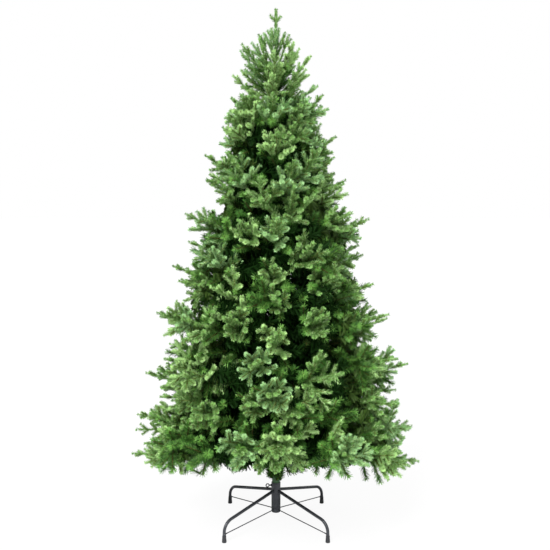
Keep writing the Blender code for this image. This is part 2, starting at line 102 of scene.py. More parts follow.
@dataclass(frozen=True)
class Finish:
    """A plain painted, moulded or film finish with a fine random grain in its gloss and its surface.

    Attributes:
        roughness: Middle of the roughness.
        specular: Level of the mirror reflection.
        grain: Cells of the grain on a metre.
        relief: Strength of the grain's bump.
        spread: How far the grain moves the roughness up and down.
    """

    name: str
    colour: tuple[float, float, float]
    roughness: float
    specular: float
    metallic: float = 0.0
    grain: float = 900.0
    relief: float = 0.0
    spread: float = 0.08

    def material(self) -> bpy.types.Material:
        """Builds the material, or finds it where it is already built.

        Returns:
            The material.
        """
        found = bpy.data.materials.get(self.name)
        if found is not None:
            return found
        made = bpy.data.materials.new(self.name)
        made.use_nodes = True
        made.diffuse_color = (*self.colour, 1.0)
        nodes, links = made.node_tree.nodes, made.node_tree.links
        shader = filled(nodes["Principled BSDF"], {
            "Base Color": (*self.colour, 1.0), "Metallic": self.metallic, "Specular IOR Level": self.specular,
        })
        noise = filled(nodes.new("ShaderNodeTexNoise"), {"Scale": self.grain, "Detail": NOISE_DETAIL})
        gloss = filled(nodes.new("ShaderNodeMapRange"), {
            "To Min": self.roughness - self.spread, "To Max": self.roughness + self.spread,
        })
        links.new(nodes.new("ShaderNodeTexCoord").outputs["Object"], noise.inputs["Vector"])
        links.new(noise.outputs["Fac"], gloss.inputs["Value"])
        links.new(gloss.outputs["Result"], shader.inputs["Roughness"])
        if self.relief > 0.0:
            bump = filled(nodes.new("ShaderNodeBump"), {"Strength": self.relief, "Distance": BUMP_DEPTH})
            links.new(noise.outputs["Fac"], bump.inputs["Height"])
            links.new(bump.outputs["Normal"], shader.inputs["Normal"])
        return made


NEEDLE_FINISHES: dict[Tint, Finish] = {
    tint: Finish(f"{'stem' if tint in (Tint.BARK, Tint.WIRE) else 'needle'}_{tint.name.lower()}", *look)
    for tint, *look in (
        (Tint.FRESH_TIP, (0.410, 0.610, 0.255), 0.60, 0.25),
        (Tint.FRESH, (0.325, 0.530, 0.185), 0.60, 0.25),
        (Tint.FRESH_COOL, (0.265, 0.470, 0.195), 0.60, 0.25),
        (Tint.FRESH_SHADE, (0.165, 0.330, 0.085), 0.60, 0.25),
        # Fresh core tint: partly the olive of stems and needle bases, partly painted shade at the sprigs' roots and
        # middles.
        (Tint.FRESH_CORE, (0.145, 0.265, 0.065), 0.65, 0.15),
        (Tint.DARK_TIP, (0.130, 0.300, 0.055), 0.50, 0.25),
        (Tint.DARK, (0.048, 0.146, 0.022), 0.50, 0.22),
        # Dark core tint: partly the darker green round the wire, partly painted shade; also the lighter painted shade
        # inside the crown's sides.
        (Tint.DARK_CORE, (0.040, 0.080, 0.013), 0.55, 0.15),
        # Near-black deep tint: painted shade for the needles, stems and limbs deep inside the crown.
        (Tint.DEEP, (0.006, 0.024, 0.003), 0.65, 0.06),
        (Tint.BARK, (0.130, 0.165, 0.040), 0.70, 0.20),
        (Tint.WIRE, (0.080, 0.075, 0.018), 0.60, 0.20),
    )
}
# Each tint's darker core tint, for short inner needles and the sprig's root: partly the stems' own colour, partly
# painted shade.
CORE_OF: dict[Tint, Tint] = {
    Tint.FRESH: Tint.FRESH_CORE, Tint.FRESH_COOL: Tint.FRESH_CORE, Tint.FRESH_SHADE: Tint.FRESH_CORE,
    Tint.DARK: Tint.DARK_CORE, Tint.DARK_CORE: Tint.DEEP, Tint.DEEP: Tint.DEEP,
}
POWDER_COAT = Finish("stand_powder_coat", (0.040, 0.043, 0.050), 0.36, 0.35, 0.25, 1400.0, 0.25)
WORN_EDGE = Finish("stand_rivet", (0.055, 0.057, 0.062), 0.30, 0.35, 0.7, 1400.0, 0.10)
FOOT_PLASTIC = Finish("foot_moulded", (0.022, 0.023, 0.026), 0.48, 0.35, 0.0, 700.0, 0.30)
POLE_PAINT = Finish("pole_green_paint", (0.030, 0.085, 0.030), 0.42, 0.35, 0.2, 1200.0, 0.20)
BOUGH_FILM = Finish("bough_wrapped_film", (0.070, 0.085, 0.030), 0.66, 0.35, 0.0, 500.0, 0.60)
FLOOR_PAPER = Finish("floor_paper", (0.80, 0.80, 0.80), 0.90, 0.2, 0.0, 40.0, 0.0, 0.03)


def polar(azimuth: float, radius: float, height: float) -> Vector:
    """Finds a point from its azimuth in radians, its distance from the pole's axis and its height."""
    return Vector((radius * math.cos(azimuth), radius * math.sin(azimuth), height))


def heading(azimuth: float, rise: float) -> Vector:
    """Finds the direction of an azimuth and a rise, both in radians."""
    return polar(azimuth, math.cos(rise), math.sin(rise))


def turned_from(along: Vector, about: Vector, degrees: float) -> Vector:
    """Turns a direction about another by some degrees."""
    return Matrix.Rotation(math.radians(degrees), 3, about.normalized()) @ along


def lies_aside(point: Vector, share: float) -> bool:
    """Tells whether a point lies further to a side than a share of its distance from the pole."""
    return abs(point.x) > share * math.hypot(point.x, point.y)


def dress(piece: bpy.types.Object, nodes: tuple[str, ...]) -> None:
    """Hands a finished piece to the frame.

    Args:
        piece: The piece, in place.
        nodes: The nodes that it stands for.
    """
    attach(piece, BODY)
    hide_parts(*nodes)
    triangles = sum(len(face.vertices) - 2 for face in piece.data.polygons)
    LOG.info("%s: %d triangles, for %d nodes", piece.name, triangles, len(nodes))


def linked(name: str, mesh: bpy.types.Mesh) -> bpy.types.Object:
    """Puts a mesh into the scene as an object at the origin.

    Args:
        name: Name of the piece.
        mesh: Its mesh.

    Returns:
        The new object.
    """
    mesh.name = name
    piece = bpy.data.objects.new(name, mesh)
    bpy.context.scene.collection.objects.link(piece)
    return piece


@dataclass
class Modeller:
    """Builds one piece from rods, turned profiles and rings, each in one of its finishes."""

    name: str
    finishes: tuple[Finish, ...]
    skin: bmesh.types.BMesh = field(default_factory=bmesh.new)

    def _take(
        self, part: bmesh.types.BMesh, finish: int, centre: Vector = ORIGIN, axis: Vector = WORLD_UP,
    ) -> None:
        """Adds a finished part's mesh to the piece.

        Args:
            part: The part, which is used up.
            finish: Number of its finish.
            centre: Where its origin goes.
            axis: Where its upright axis turns to.
        """
        bmesh.ops.remove_doubles(part, verts=part.verts, dist=MERGE_DISTANCE)
        bmesh.ops.recalc_face_normals(part, faces=part.faces)
        for face in part.faces:
            face.material_index = finish
            face.smooth = True
        turn = WORLD_UP.rotation_difference(axis).to_matrix().to_4x4()
        bmesh.ops.transform(part, matrix=Matrix.Translation(centre) @ turn, verts=part.verts)
        carrier = bpy.data.meshes.new("carrier")
        part.to_mesh(carrier)
        part.free()
        self.skin.from_mesh(carrier)
        bpy.data.meshes.remove(carrier)

    def _spin(self, part: bmesh.types.BMesh, section: Section, steps: int) -> None:
        """Turns a section of corners and edges once round the upright axis."""
        bmesh.ops.spin(part, geom=section, cent=ORIGIN, axis=WORLD_UP, angle=math.tau, steps=steps, use_merge=True)

    def rod(self, path: list[Vector], radii: list[float], finish: int, sides: int) -> None:
        """Adds a round rod along a path, with closed ends.

        Args:
            path: Points of its centre line, in one upright plane.
            radii: Radius at each point.
            finish: Number of its finish.
            sides: Sides of its section.
        """
        part = bmesh.new()
        side = (path[-1] - path[0]).cross(WORLD_UP).normalized()
        loops: list[list[bmesh.types.BMEdge]] = []
        for index, (point, radius) in enumerate(zip(path, radii)):
            along = (path[min(index + 1, len(path) - 1)] - path[max(index - 1, 0)]).normalized()
            up = side.cross(along).normalized()
            turn = Matrix((side, up, side.cross(up))).transposed().to_4x4()
            ring = bmesh.ops.create_circle(
                part, segments=sides, radius=radius, matrix=Matrix.Translation(point) @ turn,
            )["verts"]
            loops.append(list({edge for corner in ring for edge in corner.link_edges}))
        for near, far in zip(loops, loops[1:]):
            bmesh.ops.bridge_loops(part, edges=near + far)
        for end in (loops[0], loops[-1]):
            bmesh.ops.contextual_create(part, geom=end)
        self._take(part, finish)

    def turned(
        self, profile: list[tuple[float, float]], finish: int = 0, steps: int = 48,
        centre: Vector = ORIGIN, axis: Vector = WORLD_UP, bevel: float = 0.0,
    ) -> None:
        """Adds a profile turned about an axis. A profile that starts and ends on the axis makes a closed body.

        Args:
            profile: Points as radius and height.
            finish: Number of its finish.
            steps: Steps of the turn.
            centre: Where height nought lies.
            axis: The axis of the turn.
            bevel: Width of a small bevel on every sharp edge.
        """
        part = bmesh.new()
        points = [part.verts.new((radius, 0.0, height)) for radius, height in profile]
        on_axis = profile[0][0] == 0.0 and profile[-1][0] == 0.0
        pairs = zip(points, points[1:]) if on_axis else zip(points, points[1:] + points[:1])
        self._spin(part, points + [part.edges.new(pair) for pair in pairs], steps)
        bmesh.ops.remove_doubles(part, verts=part.verts, dist=MERGE_DISTANCE)
        if bevel > 0.0:
            sharp = [
                edge for edge in part.edges
                if len(edge.link_faces) == 2 and edge.calc_face_angle(0.0) > math.radians(40.0)
            ]
            bmesh.ops.bevel(
                part, geom=sharp, offset=bevel, offset_type="OFFSET", affect="EDGES", segments=2, profile=0.5,
                material=-1, clamp_overlap=True,
            )
        self._take(part, finish, centre, axis)

    def ring(self, centre: Vector, axis: Vector, radius: float, wire: float) -> None:
        """Adds a ring of round wire in the first finish.

        Args:
            centre: Its centre.
            axis: The axis that it goes round.
            radius: Radius of its centre line.
            wire: Radius of its wire.
        """
        part = bmesh.new()
        section = Matrix.Translation((radius, 0.0, 0.0)) @ Matrix.Rotation(math.pi / 2, 4, "X")
        corners = bmesh.ops.create_circle(part, segments=12, radius=wire, matrix=section)["verts"]
        self._spin(part, corners + list({edge for corner in corners for edge in corner.link_edges}), 36)
        self._take(part, 0, centre, axis)

    def piece(self, slot: str, nodes: tuple[str, ...], sharp: float = 35.0) -> None:
        """Finishes the piece and hands it to the frame.

        Args:
            slot: The record's material slot; not used.
            nodes: The nodes that it stands for.
            sharp: Angle in degrees over which an edge stays sharp.
        """
        mesh = bpy.data.meshes.new(self.name)
        self.skin.to_mesh(mesh)
        self.skin.free()
        mesh.set_sharp_from_angle(angle=math.radians(sharp))
        for finish in self.finishes:
            mesh.materials.append(finish.material())
        dress(linked(self.name, mesh), nodes)


@dataclass(frozen=True)
class NeedleStyle:
    """How needles stand on a sprig. A needle is a narrow strip, slightly twisted, with a blunt end.

    Attributes:
        taper: Width of a needle at its end, as a share of its width at its root.
        per_metre: Needles on a metre of sprig.
        lean_root: Angle between needle and sprig at the sprig's root, in degrees.
        lean_tip: The same at the sprig's tip.
        flatten: Thickness of the sprig as a share of its width.
        parting: How far the needles draw to the two sides, away from the sprig's back and belly.
        uneven: How unevenly the needles lie: their lean, their lengths, and most turn about their own length.
        tip_share: The share of the needles that take the tip's tint, most of them near the sprig's end.
        stem: Radius of the stem.
        core: The share of the needles that are short and darker, close round the stem: partly the stem's own olive,
            partly painted shade.
        foot: The share of the sprig at its root whose needles are darker too, as painted shade where the sprigs join.
        end: Which of the sprig's tints the needles at its end take, 1 for the needles' and 2 for the tip's.
    """

    length: float
    width: float
    taper: float
    per_metre: float
    lean_root: float
    lean_tip: float
    flatten: float
    parting: float
    uneven: float
    tip_share: float
    stem: float
    core: float = 0.0
    foot: float = 0.0
    end: int = 1


FRESH_STYLE = NeedleStyle(0.0130, 0.0044, 0.55, 1400.0, 50.0, 40.0, 0.95, 0.25, 0.15, 0.34, 0.0040, 0.06, 0.10)
SLIM_STYLE = NeedleStyle(0.0122, 0.0036, 0.50, 1350.0, 48.0, 34.0, 0.95, 0.25, 0.25, 0.26, 0.0030, 0.10, 0.12)
DARK_STYLE = NeedleStyle(0.0220, 0.0036, 0.45, 1300.0, 60.0, 44.0, 1.00, 0.0, 0.4, 0.34, 0.0034, 0.12, 0.10, 2)
DEEP_STYLE = NeedleStyle(0.0360, 0.0066, 0.80, 580.0, 66.0, 56.0, 0.60, 0.5, 0.9, 0.00, 0.0040)


@dataclass
class ArrayMesh:
    """Joined small faces, kept as arrays until the piece is made."""

    points: list[np.ndarray] = field(default_factory=list)
    faces: list[np.ndarray] = field(default_factory=list)
    tints: list[np.ndarray] = field(default_factory=list)
    count: int = 0

    def add(self, points: np.ndarray, faces: np.ndarray, tints: np.ndarray) -> None:
        """Adds a batch of triangles.

        Args:
            points: Points, one row each.
            faces: Rows of three point numbers within the batch.
            tints: The tint's number for each face.
        """
        self.points.append(points.astype(np.float32))
        self.faces.append(faces.astype(np.int32) + self.count)
        self.tints.append(tints.astype(np.int32))
        self.count += len(points)

    def object(self, name: str) -> bpy.types.Object:
        """Makes the object.

        Args:
            name: Name of the piece.

        Returns:
            The object, with one material slot for each tint that it uses.
        """
        points = np.concatenate(self.points)
        faces = np.concatenate(self.faces)
        used, slots = np.unique(np.concatenate(self.tints), return_inverse=True)
        mesh = bpy.data.meshes.new(name)
        mesh.vertices.add(len(points))
        mesh.vertices.foreach_set("co", points.ravel())
        mesh.loops.add(faces.size)
        mesh.loops.foreach_set("vertex_index", faces.ravel())
        mesh.polygons.add(len(faces))
        mesh.polygons.foreach_set("loop_start", np.arange(0, faces.size, 3, dtype=np.int32))
        for tint in used:
            mesh.materials.append(NEEDLE_FINISHES[Tint(int(tint))].material())
        mesh.polygons.foreach_set("material_index", slots.reshape(-1).astype(np.int32))
        mesh.update(calc_edges=True)
        mesh.validate()
        return linked(name, mesh)


def unit(rows: np.ndarray) -> np.ndarray:
    """Scales each row to the length one."""
    return rows / np.linalg.norm(rows, axis=1)[:, None]


@dataclass(frozen=True)
class Lines:
    """The centre lines of many sprigs, one row each.

    Attributes:
        roots: Where they start.
        frames: Their three directions: to the side, to the upper side and along.
        lengths: Their lengths.
        bends: How far their tips bend to the upper side, as shares of their lengths.
    """

    roots: np.ndarray
    frames: np.ndarray
    lengths: np.ndarray
    bends: np.ndarray

    def picked(self, rows: np.ndarray) -> "Lines":
        """Picks some of the lines by their numbers."""
        return Lines(self.roots[rows], self.frames[rows], self.lengths[rows], self.bends[rows])

    def middles(self, stations: np.ndarray) -> np.ndarray:
        """Finds points of the lines.

        Args:
            stations: Their places along each line, from 0 to 1.

        Returns:
            The points, by line and station.
        """
        run = (self.lengths[:, None] * stations)[:, :, None]
        bow = (self.bends[:, None] * self.lengths[:, None] * stations ** 2)[:, :, None]
        return self.roots[:, None] + self.frames[:, None, 2] * run + self.frames[:, None, 1] * bow


@dataclass
class SprigField:
    """Many sprigs of one needle style, which become joined needles and stems.

    Attributes:
        style: The needles' style.
        seed: Seed of their chance.
        rows: For each sprig its root, direction, upper side, length and bend, and its three tints: that of its short
            inner
        needles and its root, partly painted shade, of its other needles and of its tip.
    """

    style: NeedleStyle
    seed: int
    rows: list[tuple] = field(default_factory=list)

    SIZES = (0.025, 0.035, 0.045, 0.060, 0.085, 0.120, 0.160, 0.210, 0.300)
    VARIANTS = 4
    STEM_SIDES = 5
    STEM_END = 0.90
    STEM_TAPER = 0.60
    GOLDEN_TURN = math.radians(137.5)
    CROWN_RUN = 0.008
    CROWN_REACH = 0.78
    CORE_REACH = 0.55

    def add(
        self, root: Vector, along: Vector, up: Vector, length: float, tint: Tint, tip: Tint, bend: float = 0.0,
    ) -> None:
        """Adds a sprig. Its tip has a tint of its own, and may bend to the upper side by a share of the length."""
        tints = (CORE_OF[tint].value, tint.value, tip.value)
        self.rows.append((tuple(root), tuple(along.normalized()), tuple(up), length, bend, tints))

    def _template(self, length: float, draw: np.random.Generator) -> tuple[np.ndarray, ...]:
        """Lays out the needles of a sprig.

        Args:
            length: Length of the sprig.
            draw: Source of chance.

        Returns:
            Each needle's place along the sprig from 0 to 1, its four corners about that place as side, up and
            along, and which of the sprig's three tints it takes.
        """
        style = self.style
        # The stem stops short of the end, and the last needles, its crown, fan out there and close it.
        stem_end = max(0.2, 1.0 - 0.72 * style.length / length)
        count = max(10, round(style.per_metre * length))
        crown = max(4, round(self.CROWN_RUN * style.per_metre))
        station = (np.arange(count) + draw.random(count)) / count * stem_end
        station[-crown:] = stem_end * (1.0 - 0.02 * draw.random(crown))
        turn = np.arange(count) * self.GOLDEN_TURN + draw.normal(0.0, 0.25, count)
        turn -= 0.5 * style.parting * np.sin(2.0 * turn)
        lean = np.radians(style.lean_root + (style.lean_tip - style.lean_root) * (station / stem_end) ** 2.0)
        lean += style.uneven * np.radians(draw.normal(0.0, 14.0, count))
        lean[-crown:] = np.radians(8.0 + 56.0 * np.sqrt((np.arange(crown) + 0.5) / crown))
        reach = style.length * (1.0 + style.uneven * draw.uniform(-0.4, 0.2, count))
        reach[-crown:] *= self.CROWN_REACH
        inner = draw.random(count) < style.core
        inner[-crown:] = False
        reach[inner] *= self.CORE_REACH
        kind = 1 + (draw.random(count) < style.tip_share * (0.6 + 0.8 * station / stem_end))
        kind[-crown:] = style.end
        # Short inner needles and those at the sprig's root take the darker core tint: partly the stem's own colour,
        # partly painted shade.
        kind[inner | (station < style.foot * stem_end)] = 0
        # Each needle is a strip from the stem outwards, rolled and twisted a little, with its face turned outwards.
        out = np.stack([np.cos(turn), np.sin(turn) * style.flatten, np.zeros(count)], axis=1)
        axis = np.array([0.0, 0.0, 1.0])
        along = out * np.sin(lean)[:, None] + axis * np.cos(lean)[:, None]
        side = unit(np.cross(axis, out))
        face = unit(np.cross(along, side))
        roll = style.uneven * draw.uniform(-1.0, 1.0, count)[:, None]
        side, face = side * np.cos(roll) + face * np.sin(roll), face * np.cos(roll) - side * np.sin(roll)
        half = 0.5 * style.width * draw.uniform(0.85, 1.15, count)[:, None]
        root = out * style.stem * 0.5
        end = root + along * reach[:, None]
        twist = style.uneven * draw.uniform(-1.0, 1.0, count)[:, None]
        end_half = (side * np.cos(twist) + face * np.sin(twist)) * half * style.taper
        inward = np.einsum("nk,nk->n", np.cross(side, along), out) < 0.0
        half[inward], end_half[inward] = -half[inward], -end_half[inward]
        corners = np.stack([root - side * half, root + side * half, end + end_half, end - end_half], 1)
        return station, corners, kind

    def build(self, needles: ArrayMesh, stems: ArrayMesh, stem_tint: Tint) -> None:
        """Turns the sprigs into needles and stems.

        Args:
            needles: Takes the needles.
            stems: Takes the stems.
            stem_tint: Tint of the stems.
        """
        if not self.rows:
            return
        draw = np.random.default_rng(self.seed)
        roots, alongs, ups, lengths, bends, tints = (np.array(column) for column in zip(*self.rows))
        sides = unit(np.cross(alongs, ups))
        lines = Lines(roots, np.stack([sides, np.cross(sides, alongs), alongs], axis=1), lengths, bends)
        size_of = np.abs(np.log(lengths[:, None] / np.array(self.SIZES))).argmin(axis=1)
        variant_of = draw.integers(0, self.VARIANTS, len(lengths))
        for size, length in enumerate(self.SIZES):
            for variant in range(self.VARIANTS):
                station, corners, kind = self._template(length, draw)
                rows = np.flatnonzero((size_of == size) & (variant_of == variant))
                if len(rows) == 0:
                    continue
                picked = lines.picked(rows)
                points = picked.middles(station)[:, :, None] + np.einsum("njk,rkl->rnjl", corners, picked.frames)
                first = np.arange(len(rows) * len(station))[:, None] * 4
                faces = (first + np.array([0, 1, 2, 0, 2, 3])).reshape(-1, 3)
                needles.add(points.reshape(-1, 3), faces, np.repeat(tints[rows][:, kind].ravel(), 2))
        self._stems(lines, stems, stem_tint)

    def _stems(self, lines: Lines, stems: ArrayMesh, tint: Tint) -> None:
        """Makes a closed five-sided stem for each sprig.

        Args:
            lines: The sprigs' centre lines.
            stems: Takes the stems.
            tint: Tint of the stems.
        """
        count = self.STEM_SIDES
        turns = np.arange(count)[:, None] * math.tau / count
        stations = np.array((0.0, self.STEM_END))
        spokes = lines.frames[:, None, 0] * np.cos(turns) + lines.frames[:, None, 1] * np.sin(turns)
        radii = self.style.stem * (1.0 - self.STEM_TAPER * stations)[:, None, None]
        points = lines.middles(stations)[:, :, None] + spokes[:, None] * radii
        faces = [(0, corner + 1, corner) for corner in range(1, count - 1)]
        faces += [(count, count + corner, count + corner + 1) for corner in range(1, count - 1)]
        for near in range(count):
            beside = (near + 1) % count
            faces += [(near, beside, beside + count), (near, beside + count, near + count)]
        numbers = (np.arange(len(points)) * 2 * count)[:, None, None] + np.array(faces)
        stems.add(points.reshape(-1, 3), numbers.reshape(-1, 3), np.full(len(points) * len(faces), tint.value))


@dataclass(frozen=True)
class CrownForm:
    """The crown's outline, its tiers and its named tips, as its solids have them."""

    height: float = 2.10
    skirt_height: float = 0.285
    skirt_reach: float = 0.594
    power: float = 0.70
    edges: tuple[tuple[float, float, float], ...] = (  # outer height, rise of the edge, rise of the sprays
        (0.225, 6.0, -8.0), (0.500, 6.0, 6.0), (0.800, 14.0, 14.0), (1.090, 21.0, 21.0), (1.360, 29.0, 29.0),
        (1.590, 38.0, 38.0), (1.800, 50.0, 50.0),
    )
    masses: tuple[int, ...] = (7, 6, 5, 4, 3, 3)
    turns: tuple[float, ...] = (18.0, 15.0, 9.0, 20.0, 20.0, -20.0)
    front_skirt_height: float = 0.174
    front_skirt_slope: float = 0.365
    left_tips: Pairs = (
        (0.295, 0.604), (0.457, 0.580), (0.625, 0.545), (0.883, 0.496), (1.085, 0.424), (1.292, 0.372), (1.524, 0.294),
    )
    right_tips: Pairs = (
        (0.265, 0.600), (0.414, 0.573), (0.676, 0.548), (0.875, 0.471), (1.117, 0.362), (1.272, 0.381), (1.604, 0.241),
    )
    front_tip: tuple[float, float] = (0.470, 0.600)
    front_clusters: Pairs = (
        (-90, 1.63), (-76, 1.49), (-102, 1.43), (-79, 1.39), (-94, 1.34), (-113, 1.27), (-80, 1.26), (-68, 1.19),
        (-97, 1.11), (-54, 1.07), (-91, 1.00), (-64, 0.93), (-116, 0.92), (-99, 0.77), (-101, 0.63), (-81, 0.59),
        (-125, 0.56), (-105, 0.46), (-61, 0.43),
    )
    pole_sections: Pairs = ((0.0160, 0.780), (0.0140, 1.250), (0.0110, 1.625))
    spray_spacing: float = 0.170
    spray_length: float = 0.215
    short_reach: float = 0.90
    long_reach: float = 1.06
    row_heights: tuple[float, float] = (0.27, 0.73)
    bough_tiers: int = 2
    bough_length: float = 0.165

    def reach(self, height: float) -> float:
        """Finds how far the tips reach from the pole's axis at a height."""
        share = (self.height - height) / (self.height - self.skirt_height)
        return self.skirt_reach * min(max(share, 0.0), 1.0) ** self.power

    def edge(self, index: int) -> tuple[float, float]:
        """Finds the edge under a tier.

        Args:
            index: Number of the tier.

        Returns:
            The edge's height at the pole and its slope.
        """
        outer_height, rise, _ = self.edges[index]
        slope = math.tan(math.radians(rise))
        return outer_height - slope * self.reach(outer_height), slope

    def named_tips(self) -> list[Vector]:
        """Lists the tips and clusters that have a place of their own.

        Returns:
            Their points.
        """
        tips = [polar(math.radians(turn), self.reach(height), height) for turn, height in self.front_clusters]
        front = (self.front_tip, *self.right_tips[2:])
        for turn, side in ((0, self.right_tips), (90, self.left_tips), (180, self.left_tips), (270, front)):
            tips += [polar(math.radians(turn), reach, height) for height, reach in side]
        return tips

    def pole_radius(self, height: float) -> float:
        """Finds the pole's radius at a height."""
        return next((radius for radius, top in self.pole_sections if height <= top), self.pole_sections[-1][0])


@dataclass
class Space:
    """The room that one mass keeps to: a wedge about the pole, between the edges of its tier."""

    form: CrownForm
    tier: int
    sector: int

    TWIG_PLACES = (0.32, 0.68)
    EDGE_ROOM = 0.002

    def __post_init__(self) -> None:
        """Works out the wedge's middle and its edges."""
        count = self.form.masses[self.tier]
        self.half_angle = math.pi / count
        self.azimuth = math.radians(self.form.turns[self.tier]) + math.tau * self.sector / count
        self.out = polar(self.azimuth, 1.0, 0.0)
        self.across = polar(self.azimuth + math.pi / 2, 1.0, 0.0)
        self.lower = self.form.edge(self.tier)
        self.upper = self.form.edge(self.tier + 1)

    def floor(self, point: Vector) -> float:
        """Finds the height of the lower face under or over a point.

        Args:
            point: The point.

        Returns:
            The height.
        """
        height = self.lower[0] + self.lower[1] * math.hypot(point.x, point.y)
        if self.tier > 0:
            return height
        return max(height, self.form.front_skirt_height - self.form.front_skirt_slope * point.y)

    def ceiling(self, point: Vector) -> float:
        """Finds the height of the upper face under or over a point."""
        return self.upper[0] + self.upper[1] * math.hypot(point.x, point.y)

    def point(self, share: float, radius: float, turn: float = 0.0) -> Vector:
        """Finds a point of the space.

        Args:
            share: Share of the tier's height.
            radius: Distance from the pole's axis.
            turn: Turn from the middle of the wedge.

        Returns:
            The point.
        """
        point = polar(self.azimuth + turn, radius, 0.0)
        low, high = self.floor(point), self.ceiling(point)
        point.z = low + (high - low) * share
        return point

    def surface(self, share: float, turn: float = 0.0) -> float:
        """Finds the reach of the crown's surface.

        Args:
            share: Share of the tier's height.
            turn: Turn from the middle of the wedge.

        Returns:
            The reach.
        """
        radius = self.form.reach(self.form.edges[self.tier][0])
        for _ in range(6):
            radius = (radius + self.form.reach(self.point(share, radius, turn).z)) / 2
        return radius

    def holds(self, point: Vector) -> bool:
        """Tells whether a point lies in the space.

        Args:
            point: The point.

        Returns:
            True where it does.
        """
        forward, sideways = point.dot(self.out), point.dot(self.across)
        beside = forward * math.sin(self.half_angle) - abs(sideways) * math.cos(self.half_angle)
        room = (beside, self.ceiling(point) - point.z, point.z - self.floor(point))
        return forward > 0.0 and min(room) > self.EDGE_ROOM

    def rise(self, share: float) -> float:
        """Finds how steeply sprays rise at a share of the tier's height, in radians."""
        low, high = (self.form.edges[index][2] for index in (self.tier, self.tier + 1))
        return math.radians(low + (high - low) * share)

    def share_at(self, point: Vector) -> float:
        """Finds how far up the tier a point lies, as a share of the tier's height."""
        low = self.floor(point)
        return (point.z - low) / (self.ceiling(point) - low)

    def columns(self, spacing: float, least: int, depth: float = 1.0) -> int:
        """Counts the columns of a spacing that the wedge has room for, at a depth as a share of its reach."""
        return max(least, round(2.0 * self.half_angle * self.surface(0.5) * depth / spacing))

    def turn_of(self, column: float, columns: int) -> float:
        """Finds the turn of a column from the middle of the wedge."""
        return (column / columns * 2.0 - 1.0) * self.half_angle

    def aims(self, draw: random.Random) -> list[tuple[Vector, bool]]:
        """Lists where the twigs of this mass end, by the rule of its solid.

        Args:
            draw: Source of chance.

        Returns:
            The points, each with whether it is one of the named tips.
        """
        form = self.form
        columns = self.columns(form.spray_spacing, 2)
        found: list[tuple[Vector, bool]] = []
        for share, place in zip(form.row_heights, self.TWIG_PLACES):
            for column in range(columns):
                turn = self.turn_of(column + place, columns) + draw.uniform(-0.06, 0.06) / columns
                high = share + draw.uniform(-0.05, 0.05)
                reach = self.surface(high, turn) * draw.uniform(form.short_reach, form.long_reach)
                found.append((self.point(high, reach, turn), False))
        for tip in form.named_tips():
            if self.holds(tip):
                nearest = min(range(len(found)), key=lambda index: (found[index][0] - tip).length)
                found[nearest] = (tip, True)
        return found


@dataclass(frozen=True)
class Shoot:
    """The line that a spray or a twig grows along: its root, direction, upper side and length."""

    root: Vector
    along: Vector
    up: Vector
    length: float

    @property
    def side(self) -> Vector:
        """Finds the direction to its side."""
        return self.along.cross(self.up).normalized()

    def at(self, share: float) -> Vector:
        """Finds the point at a share of its length."""
        return self.root + self.along * (self.length * share)


@dataclass(frozen=True)
class Frond:
    """A flat spray: a needled axis with pairs of side sprigs that lean forward.

    Attributes:
        stations: Where the pairs leave the axis, as shares of its length.
        shares: Their lengths, as shares of the axis.
        angle: Their angle from the axis in degrees.
        bare: The share of the axis at its root without needles.
    """

    stations: tuple[float, ...]
    shares: tuple[float, ...]
    angle: float
    bare: float = 0.05

    LEAST = 0.022

    def grow(self, sprigs: SprigField, shoot: Shoot, tint: Tint, draw: random.Random) -> None:
        """Grows the spray.

        Args:
            sprigs: Takes its sprigs.
            shoot: The line of its axis.
            tint: Tint of its needles.
            draw: Source of chance.
        """
        along, length = shoot.along, shoot.length
        up = shoot.side.cross(along).normalized()
        bend = draw.uniform(-0.06, 0.08)
        root = shoot.root + along * length * self.bare
        sprigs.add(root, along, up, length * (1.0 - self.bare), tint, Tint.FRESH_TIP, bend)
        for station, share in zip(self.stations, self.shares):
            for hand in (1.0, -1.0):
                at = station + draw.uniform(-0.03, 0.03)
                foot = shoot.at(at) + up * (bend * length * at * at)
                way = turned_from(along, up, hand * (self.angle + draw.uniform(-8.0, 8.0)))
                way = (way + up * draw.uniform(-0.10, 0.28)).normalized()
                reach = max(length * share * draw.uniform(0.82, 1.12), self.LEAST)
                sprigs.add(foot, way, up, reach, tint, Tint.FRESH_TIP, draw.uniform(-0.05, 0.10))


LEADING_SPRAY = Frond((0.38, 0.58, 0.76), (0.21, 0.19, 0.17), 36.0, 0.20)
HAND = Frond((0.34, 0.64), (0.46, 0.36), 50.0)
TRIDENT = Frond((0.50,), (0.46,), 47.0)
RISING_SPRAY = Frond((0.42, 0.60, 0.77), (0.19, 0.18, 0.16), 31.0)
SMALL_SPRAY = Frond((0.62,), (0.32,), 30.0)
SINGLE_TIP = Frond((), (), 0.0)


@dataclass(frozen=True)
class Fan:
    """How the small sprays stand about a leading one.

    Attributes:
        tints: How often each of the three fresh tints comes.
        cone: Their least and largest angle from it, in degrees.
        foot: Where they start along it, at least and at most.
        hands: The share of them that are hands. The others are tridents.
    """

    tints: tuple[float, float, float]
    cone: tuple[float, float]
    foot: tuple[float, float]
    hands: float


# The narrow fan's tints lean to the shade tint, which is painted shade; it serves the sprays at the crown's sides, at
# the named tips and on the upper tiers.
NARROW_FAN = Fan((0.25, 0.35, 0.40), (22.0, 42.0), (0.12, 0.30), 0.25)
WIDE_FAN = Fan((0.5, 0.28, 0.22), (48.0, 74.0), (0.28, 0.46), 0.6)
FRESH_TINTS = (Tint.FRESH, Tint.FRESH_COOL, Tint.FRESH_SHADE)


@dataclass(frozen=True)
class Layer:
    """A layer of near-black sprigs inside a mass, painted shade, at a depth and up to a height that are shares of the
    mass's own.
    """

    depth: float
    rows: int = 5
    high: float = 0.95
    length: float = 0.14


